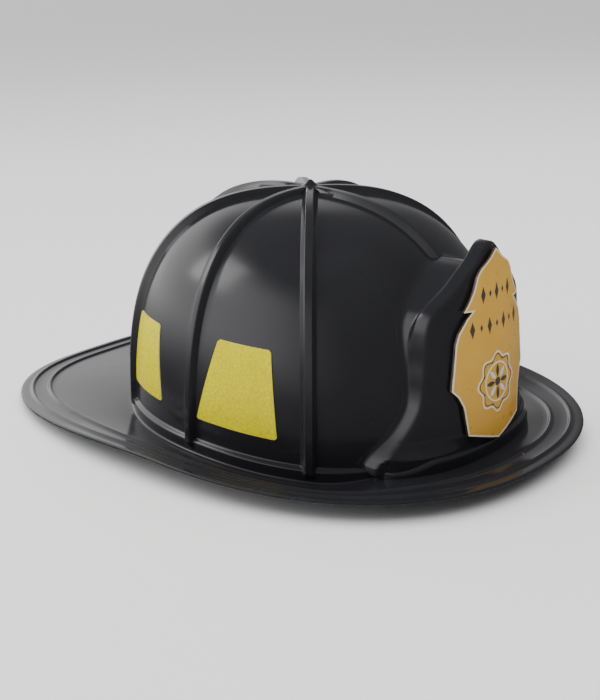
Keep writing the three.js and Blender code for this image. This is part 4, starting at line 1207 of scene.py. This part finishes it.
def build_screw(node_name, shank, head, head_height):
    """A pan-headed screw along +Y, its head at the back."""
    low, high = (np.array(corner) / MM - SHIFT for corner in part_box(node_name))
    start = np.array([(low[0] + high[0]) / 2, low[1], (low[2] + high[2]) / 2])
    end = high[1] - low[1]
    seat = end - head_height
    outline = [(0, 0), (shank * 0.5, 0.1), (shank, 0.9)]
    for y in np.arange(1.2, seat - 1, SCREW["pitch"]):
        outline += [(shank * SCREW["thread_root"], y), (shank, y + SCREW["pitch"] / 2)]
    outline += [(shank, seat), (head - 0.1, seat), (head, seat + 0.15)]
    outline += [(head * math.cos(a), end - SCREW["crown"] * head_height * (1 - math.sin(a)))
                for a in np.linspace(0, math.pi / 2, 9)]
    screw = turned(f"{node_name}_turned", outline, start, (0, 1, 0))
    recess = cross_recess(start + (0, end, 0), head * SCREW["recess"],
                          head_height * SCREW["recess_depth"])
    return paint_smooth(combine(screw, recess, "DIFFERENCE"), STEEL, 30)


def stitched(name, places, along, length=2.3, radius=0.32):
    """Short stitches of thread, each at a spot and lying along a direction."""
    rings, sides = 7, 8
    turn = np.linspace(0, 2 * math.pi, sides, endpoint=False)
    stitch = capped_faces(rings, sides)
    points, faces = [], []
    for spot, way in zip(places, along):
        way = unit(way)
        across = unit(np.cross(way, UP if abs(way[2]) < 0.9 else (1, 0, 0)))
        other = np.cross(way, across)
        faces.extend([len(points) + i for i in face] for face in stitch)
        for t in np.linspace(-1, 1, rings):
            r = radius * max(1 - t ** 4, 0.02) ** 0.5
            points.extend(spot + way * t * length / 2 + r * (across * c + other * s)
                          for c, s in zip(np.cos(turn), np.sin(turn)))
    return paint_smooth(new_object(name, points, faces, shell_frame=False), THREAD, 60)


def strap_stitches(path, wide, runs):
    """Two rows across a strap and one down each side of them, on both of its faces."""
    tangent, _, length = directions(path, wide)
    places, along = [], []
    margin, box_half = STRAP["box_margin"], STRAP["box_half"]
    half = STRAP["width"] / 2 - margin
    for run in runs:
        for step in np.linspace(-box_half, box_half, 5):
            at = interpolated(run + step, length, path)
            way = interpolated(run + step, length, tangent)
            out = np.cross(way, wide) * STRAP["thickness"] / 2
            marks = [(side, way) for side in (-half, half)]
            if abs(step) == box_half:
                marks += [(side, wide) for side in np.arange(-half + margin, half - 1, 2.6)]
            for side, lie in marks:
                places += [at + out + wide * side, at - out + wide * side]
                along += [lie, lie]
    return stitched("stitches", places, along)


def interpolated(run, length, values):
    """The values along a path at a run of its length."""
    return np.array([np.interp(run, length, values[:, k]) for k in range(3)])


def build_strap(name, path, wide):
    """A strap with a box of stitches near each end."""
    section = rounded_section(STRAP["thickness"], STRAP["width"], STRAP["corner"], 25)
    strap = paint_faces(sweep(name, path, wide, section), TAPE)
    length, middle = directions(path, wide)[2][-1], STRAP["box_middle"]
    return join(strap, [strap_stitches(path, wide, (middle, length - middle))])


def build_cross_strap():
    half = HEADBAND["half_width"] + HEADBAND["thickness"] / 2 + STRAP["thickness"] / 2 + GAP
    rise = STRAP["cross_top"] - STRAP["shoulder"]
    over = arc((0, STRAP["shoulder"]), half, rise, STRAP["power"], 0, math.pi, 90)
    up = np.linspace(STRAP["low"], STRAP["shoulder"], 9, endpoint=False)
    line = [*((half, z) for z in up), *over, *((-half, z) for z in up[::-1])]
    path = np.array([(x, STRAP["cross_y"], z) for x, z in line])
    return build_strap("cross_strap_webbing", path, np.array([0.0, 1.0, 0.0]))


def build_long_strap():
    front = (HEADBAND["centre_y"] - HEADBAND["half_length"] - HEADBAND["thickness"] / 2 - GAP
             - STRAP["thickness"] / 2)
    middle, quarter, top = STRAP["cross_y"], math.pi / 2, STRAP["long_top"]
    fore = arc((middle, STRAP["shoulder"]), middle - front, top - STRAP["shoulder"],
               STRAP["power"], math.pi, quarter, 50)
    aft = arc((middle, STRAP["rear_shoulder"]), STRAP["rear_y"] - middle,
              top - STRAP["rear_shoulder"], STRAP["power"], quarter, 0, 50)
    up = np.linspace(STRAP["low"], STRAP["shoulder"], 9, endpoint=False)
    down = np.linspace(STRAP["rear_shoulder"], STRAP["rear_end"], 7)[1:]
    line = [*((front, z) for z in up), *fore, *aft[1:], *((STRAP["rear_y"], z) for z in down)]
    path = np.array([(0, y, z) for y, z in line])
    return build_strap("long_strap_webbing", path, np.array([1.0, 0.0, 0.0]))


# ---------------------------------------------------------------- pads

CLOTH = dict(voxel=1.4, enlarge=40, pressure=6, mass=0.05, frames=20, cap=0.8)
# What is left off a pad's thickness and width for the cloth to swell into.
SWELL = dict(band_thickness=0.9, band_width=1.6, crown_half=0.6, crown_radius=0.8)


def puffed(pad):
    """Swells a pad as cloth under pressure, no point moving further than a cap."""
    remesh = pad.modifiers.new("remesh", "REMESH")
    remesh.mode = "VOXEL"
    remesh.voxel_size = CLOTH["voxel"] * MM
    apply_modifiers(pad)
    start = read_points(pad)
    write_points(pad, start * CLOTH["enlarge"])
    cloth = pad.modifiers.new("cloth", "CLOTH")
    cloth.settings.mass = CLOTH["mass"]
    cloth.settings.use_pressure = True
    cloth.settings.uniform_pressure_force = CLOTH["pressure"]
    cloth.settings.effector_weights.gravity = 0
    cloth.point_cache.frame_end = CLOTH["frames"]
    scene = bpy.context.scene
    for step in range(1, CLOTH["frames"] + 1):
        scene.frame_set(step)
    graph = bpy.context.evaluated_depsgraph_get()
    swollen = read_points(pad.evaluated_get(graph)) / CLOTH["enlarge"]
    pad.modifiers.clear()
    scene.frame_set(1)
    moved = swollen - start
    distance = np.linalg.norm(moved, axis=1, keepdims=True)
    cap = CLOTH["cap"] * MM
    write_points(pad, start + moved * np.minimum(1, cap / np.maximum(distance, 1e-9)))
    return pad


def read_points(obj):
    points = np.empty(len(obj.data.vertices) * 3, np.float32)
    obj.data.vertices.foreach_get("co", points)
    return points.reshape(-1, 3).astype(float)


def write_points(obj, points):
    obj.data.vertices.foreach_set("co", points.astype(np.float32).ravel())
    obj.data.update()


def channelled(pad, path, lines, half):
    """Draws a pad's faces together along its sewn channels and shows their stitches."""
    tangent, normal, length = directions(path, UP)
    points = read_points(pad) / MM - SHIFT
    flat = points[:, None, :2] - path[None, :, :2]
    near = np.argmin((flat ** 2).sum(-1), axis=1)
    off = points - path[near]
    out = (off * normal[near]).sum(1)
    run = length[near] + (off * tangent[near]).sum(1)
    gap = np.abs(run[:, None] - lines[None]).min(1)
    squeeze = 1 - CHANNEL["squeeze"] * np.exp(-(gap / CHANNEL["half"]) ** 2)
    points += normal[near] * (out * squeeze - out)[:, None]
    write_points(pad, (points + SHIFT) * MM)
    subdivided(pad)
    places = []
    depth = half * (1 - CHANNEL["squeeze"]) + 0.15
    for line in lines:
        at, way = interpolated(line, length, path), interpolated(line, length, normal)
        reach = CHANNEL["stitch_reach"]
        for z in np.arange(-reach, reach + 0.1, CHANNEL["stitch_step"]):
            places.extend(at + UP * z + way * side * depth for side in (-1, 1))
    join(pad, [stitched("stitches", places, [UP] * len(places), 2.2, 0.28)])
    return pad


def subdivided(obj):
    modifier = obj.modifiers.new("smooth", "SUBSURF")
    modifier.levels = 1
    apply_modifiers(obj)
    obj.data.shade_smooth()


def band_pad(name, line, sizes):
    """A pad that follows a line in the plan, quilted across."""
    thickness, low, high = sizes["thickness"], sizes["low"], sizes["high"]
    path = level(line, (low + high) / 2)
    section = rounded_section(thickness - SWELL["band_thickness"],
                              high - low - SWELL["band_width"], (thickness - 1) / 2, 21, 6)
    pad = paint_faces(puffed(sweep(name, path, UP, section)), KNIT)
    length = directions(path, UP)[2][-1]
    lines = length * np.arange(1, sizes["channels"] + 1) / (sizes["channels"] + 1)
    return channelled(pad, path, lines, thickness / 2)


def build_brow_pad():
    end = BROW_PAD["end"]
    line = band_path(BROW_PAD["offset"], math.pi + end, 2 * math.pi - end, 240)
    return band_pad("brow_pad_knit", line, BROW_PAD)


def build_nape_pad():
    offset, end = NAPE_PAD["offset"], NAPE_PAD["end"]
    line = arc((0, CRADLE["bend_y"]), CRADLE["half_width"] - offset, CRADLE["depth"] - offset,
               CRADLE["power"], end, math.pi - end, 140)
    return band_pad("nape_pad_knit", line, NAPE_PAD)


def build_crown_pad():
    """A round pad, sewn in a ring and drawn in at its middle."""
    low, high = CROWN_PAD["low"] + SWELL["crown_half"], CROWN_PAD["high"] - SWELL["crown_half"]
    radius = CROWN_PAD["radius"] - SWELL["crown_radius"]
    half, ring_radius = (high - low) / 2, CROWN_PAD["ring"]
    outline = [(0, 0)] + [(radius - half + half * math.sin(a), half - half * math.cos(a))
                          for a in np.linspace(0, math.pi, 15)] + [(0, 2 * half)]
    pad = turned("crown_pad_knit", outline, (0, STRAP["cross_y"], low), UP, 72)
    paint_faces(puffed(pad), KNIT)
    points = read_points(pad) / MM - SHIFT
    middle = (low + high) / 2
    reach = np.hypot(points[:, 0], points[:, 1] - STRAP["cross_y"])
    off_ring = (reach - ring_radius) / CROWN_PAD["ring_half"]
    squeeze = 1 - CROWN_PAD["ring_squeeze"] * np.exp(-off_ring ** 2)
    squeeze -= CROWN_PAD["middle_squeeze"] * np.exp(-(reach / CROWN_PAD["middle_half"]) ** 2)
    points[:, 2] = middle + (points[:, 2] - middle) * squeeze
    write_points(pad, (points + SHIFT) * MM)
    subdivided(pad)
    turn = np.linspace(0, 2 * math.pi, 30, endpoint=False)
    spokes = np.stack([np.cos(turn), np.sin(turn), 0 * turn], -1)
    sunk = (half + 0.5) * (1 - CROWN_PAD["ring_squeeze"]) + 0.1
    places = np.array([0, STRAP["cross_y"], middle - sunk]) + spokes * ring_radius
    join(pad, [stitched("stitches", places, np.cross(spokes, UP), 2.2, 0.3)])
    return pad


# ---------------------------------------------------------------- knob

def knob_outline():
    """Points of (radius, y, share of the lobes' depth), from the bore round to the well."""
    front, back, radius, bend = KNOB["front"], KNOB["back"], KNOB["radius"], KNOB["bend"]
    bore, well = KNOB["bore"], KNOB["well"]
    bore_end, well_floor = back - KNOB["bore_end"], back - KNOB["well_depth"]
    quarter = np.linspace(0, math.pi / 2, 6)
    outline = [(0.0, bore_end, 0), (bore, bore_end, 0), (bore, front + 0.4, 0),
               (bore + 0.4, front, 0), (radius - 3, front, 0.3)]
    outline += [(radius - bend + bend * math.sin(a), front + bend - bend * math.cos(a), 1)
                for a in quarter]
    outline += [(radius - bend + bend * math.cos(a), back - bend + bend * math.sin(a), 1)
                for a in quarter]
    outline += [(radius - 3.2, back, 0.35), (radius - 3.8, back - 0.5, 0.15), (6, back - 0.6, 0),
                (4.4, back - 0.45, 0), (3.6, back, 0), (well + 0.3, back, 0), (well, back - 0.3, 0),
                (well, well_floor, 0), (0.0, well_floor, 0)]
    return outline


def build_knob():
    """A knob with rounded lobes, a bore for the shaft and a well for its screw."""
    turn = np.linspace(0, 2 * math.pi, KNOB["lobes"] * 14, endpoint=False)
    valley = (1 - np.cos(KNOB["lobes"] * turn)) / 2
    loops = []
    for r, y, weight in knob_outline():
        reach = r - KNOB["lobe_depth"] * valley * weight
        loops.append(np.stack([reach * np.cos(turn), np.full_like(turn, y),
                               KNOB["axis_z"] + reach * np.sin(turn)], -1))
    knob = loft("ratchet_knob_moulding", loops, shell_frame=False, ends=False)
    return paint_smooth(knob, KNOB_PLASTIC, 38)


# ---------------------------------------------------------------- camera and light

CAMERA = dict(azimuth=49.11, elevation=17.09, distance=684.62, target=(0, 0, 65), roll=-0.37,
              lens=61.55, shift=(-11 / 700, -49.9 / 700))


def build_camera():
    azimuth, elevation = math.radians(CAMERA["azimuth"]), math.radians(CAMERA["elevation"])
    c = math.cos(elevation)
    back = np.array([-math.sin(azimuth) * c, -math.cos(azimuth) * c, math.sin(elevation)])
    right = np.array([math.cos(azimuth), -math.sin(azimuth), 0])
    up = np.cross(back, right)
    c, s = math.cos(math.radians(CAMERA["roll"])), math.sin(math.radians(CAMERA["roll"]))
    right, up = right * c + up * s, up * c - right * s
    place = (tilted(np.array(CAMERA["target"]) + back * CAMERA["distance"]) + SHIFT) * MM
    axes = [tilted(axis) for axis in (right, up, back)]
    camera = bpy.data.objects.new("camera", bpy.data.cameras.new("camera"))
    camera.matrix_world = Matrix([[*(axis[k] for axis in axes), place[k]] for k in range(3)]
                                 + [[0, 0, 0, 1]])
    camera.data.sensor_width = 36
    camera.data.lens = CAMERA["lens"]
    camera.data.shift_x, camera.data.shift_y = CAMERA["shift"]
    camera.data.clip_start, camera.data.clip_end = 0.01, 100
    bpy.context.scene.collection.objects.link(camera)
    bpy.context.scene.camera = camera


def light(name, kind, power, location=(0, 0, 0), aim=(0, 0, -1)):
    lamp = bpy.data.objects.new(name, bpy.data.lights.new(name, kind))
    lamp.data.energy = power
    lamp.location = location
    lamp.rotation_mode = "QUATERNION"
    lamp.rotation_quaternion = (Vector(aim) - Vector(location)).to_track_quat("-Z", "Y")
    bpy.context.scene.collection.objects.link(lamp)
    return lamp


STUDIO = dict(away=(-0.42, 0.91, 0.0), backdrop=3.0, bright=2.1, dim=0.18, side_fade=(-0.1, 0.95),
              top_fade=(0.45, 0.75), ground_fade=(-0.25, 0.08), floor_tone=0.9, floor_half=12)


def build_backdrop():
    """Bright on one side and dim on the others for the gloss, and plain for the camera."""
    world = bpy.data.worlds.new("studio")
    bpy.context.scene.world = world
    world.use_nodes = True
    background = world.node_tree.nodes["Background"]
    direction = node(world, "ShaderNodeTexCoord").outputs["Generated"]
    toward = node(world, "ShaderNodeVectorMath", {0: direction, 1: STUDIO["away"]},
                  operation="DOT_PRODUCT").outputs["Value"]
    height = node(world, "ShaderNodeSeparateXYZ", {0: direction}).outputs["Z"]
    soft = dict(interpolation_type="SMOOTHSTEP")
    side = ranged(world, toward, *STUDIO["side_fade"], **soft)
    low = ranged(world, height, *STUDIO["top_fade"], 1.0, 0.0, **soft)
    ground = ranged(world, height, *STUDIO["ground_fade"], **soft)
    share = math_node(world, "MULTIPLY", math_node(world, "MULTIPLY", side, low), ground)
    strength = ranged(world, share, 0.0, 1.0, STUDIO["dim"], STUDIO["bright"])
    seen = node(world, "ShaderNodeLightPath").outputs["Is Camera Ray"]
    strength = node(world, "ShaderNodeMix",
                    {0: seen, 2: strength, 3: STUDIO["backdrop"]}).outputs[0]
    world.node_tree.links.new(strength, background.inputs["Strength"])
    background.inputs["Color"].default_value = (1, 1, 1, 1)


def build_studio():
    """The backdrop, a pale floor, a key from behind and soft light from overhead."""
    build_backdrop()
    mesh = bpy.data.meshes.new("floor")
    half = STUDIO["floor_half"]
    mesh.from_pydata([(-half, -half, 0), (half, -half, 0), (half, half, 0), (-half, half, 0)], [],
                     [(0, 1, 2, 3)])
    floor = bpy.data.objects.new("floor", mesh)
    bpy.context.scene.collection.objects.link(floor)
    paint = new_material("floor_paint", (STUDIO["floor_tone"],) * 3, 0.7)
    feed(paint, "Roughness", spread(paint, noise(paint, 3, 3), 0.65, 0.75))
    mesh.materials.append(paint)
    fill = light("fill", "AREA", power=34, location=(0.1, -0.1, 1.5), aim=(0, 0, 0))
    fill.data.size = 2.2
    key = light("key", "AREA", power=3, location=(-0.75, 1.0, 0.8), aim=(0, 0, 0.09))
    key.data.size = 0.5
    sky = light("sky", "SUN", power=1.6)
    sky.data.angle = math.radians(100)
    for unseen in (floor, fill, sky):
        unseen.visible_glossy = False


# ---------------------------------------------------------------- assembly

def place(obj, body, slot, *nodes):
    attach(obj, body)
    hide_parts(*nodes)
    return obj


SHELL_PLASTIC = gloss_plastic()
FILM_MATERIAL, FILM_EDGE = reflective_film(), cut_edge()
SATIN, STEEL, TAPE, THREAD = satin_plastic(), plated_steel(), woven_tape(), sewing_thread()
KNIT, FOAM, NYLON = brushed_knit(), foam_tape(), natural_nylon()
KNOB_PLASTIC = satin_plastic("knob_plastic", 0.018, 0.05, 900)

place(paint_faces(build_shell(), SHELL_PLASTIC), "helmet", "shell_plastic", "shell")
place(build_badge(), "helmet", "badge_gold", "front_badge")
paint_faces(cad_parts["badge_tape"], FOAM)
for way, side in (("right", -1), ("left", 1)):
    for part, dent in (("side", 1.0 if way == "right" else 0.0), ("rear", 0.0)):
        panel_name = f"{way}_{part}_panel"
        film = build_panel(f"{panel_name}_film", PANELS[part], side, dent)
        place(film, "helmet", "reflective_yellow", panel_name)

place(build_headband(), "helmet", "suspension_plastic", "headband")
for key in ("front_right", "front_left", "side_right", "side_left", "rear"):
    place(softened(f"{key}_key", 0.45), "helmet", "suspension_plastic", f"{key}_key")
for rivet in ("front_right", "front_left", "side_right", "side_left", "rear", "brow", "crown"):
    place(build_rivet(f"{rivet}_rivet"), "helmet", "steel", f"{rivet}_rivet")
place(build_cross_strap(), "helmet", "webbing", "cross_strap")
place(build_long_strap(), "helmet", "webbing", "long_strap")
place(build_crown_pad(), "helmet", "padding", "crown_pad")
place(build_brow_pad(), "helmet", "padding", "brow_pad")

place(softened("nape_cradle", 0.4), "cradle", "suspension_plastic", "nape_cradle")
place(softened("cradle_cover", 0.4), "cradle", "suspension_plastic", "cradle_cover")
for number in range(1, 5):
    screw = f"cover_screw_{number}"
    place(build_screw(screw, 1.1, 2.1, 1.4), "cradle", "steel", screw)
place(build_nape_pad(), "cradle", "padding", "nape_pad")

place(build_knob(), "knob", "knob_plastic", "ratchet_knob")
place(build_screw("knob_screw", 1.0, 2.2, 1.0), "knob", "steel", "knob_screw")
for gear in ("left_rack", "right_rack", "drive_pinion"):
    paint_faces(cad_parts[gear], NYLON)

build_camera()
build_studio()
bpy.context.view_layer.update()
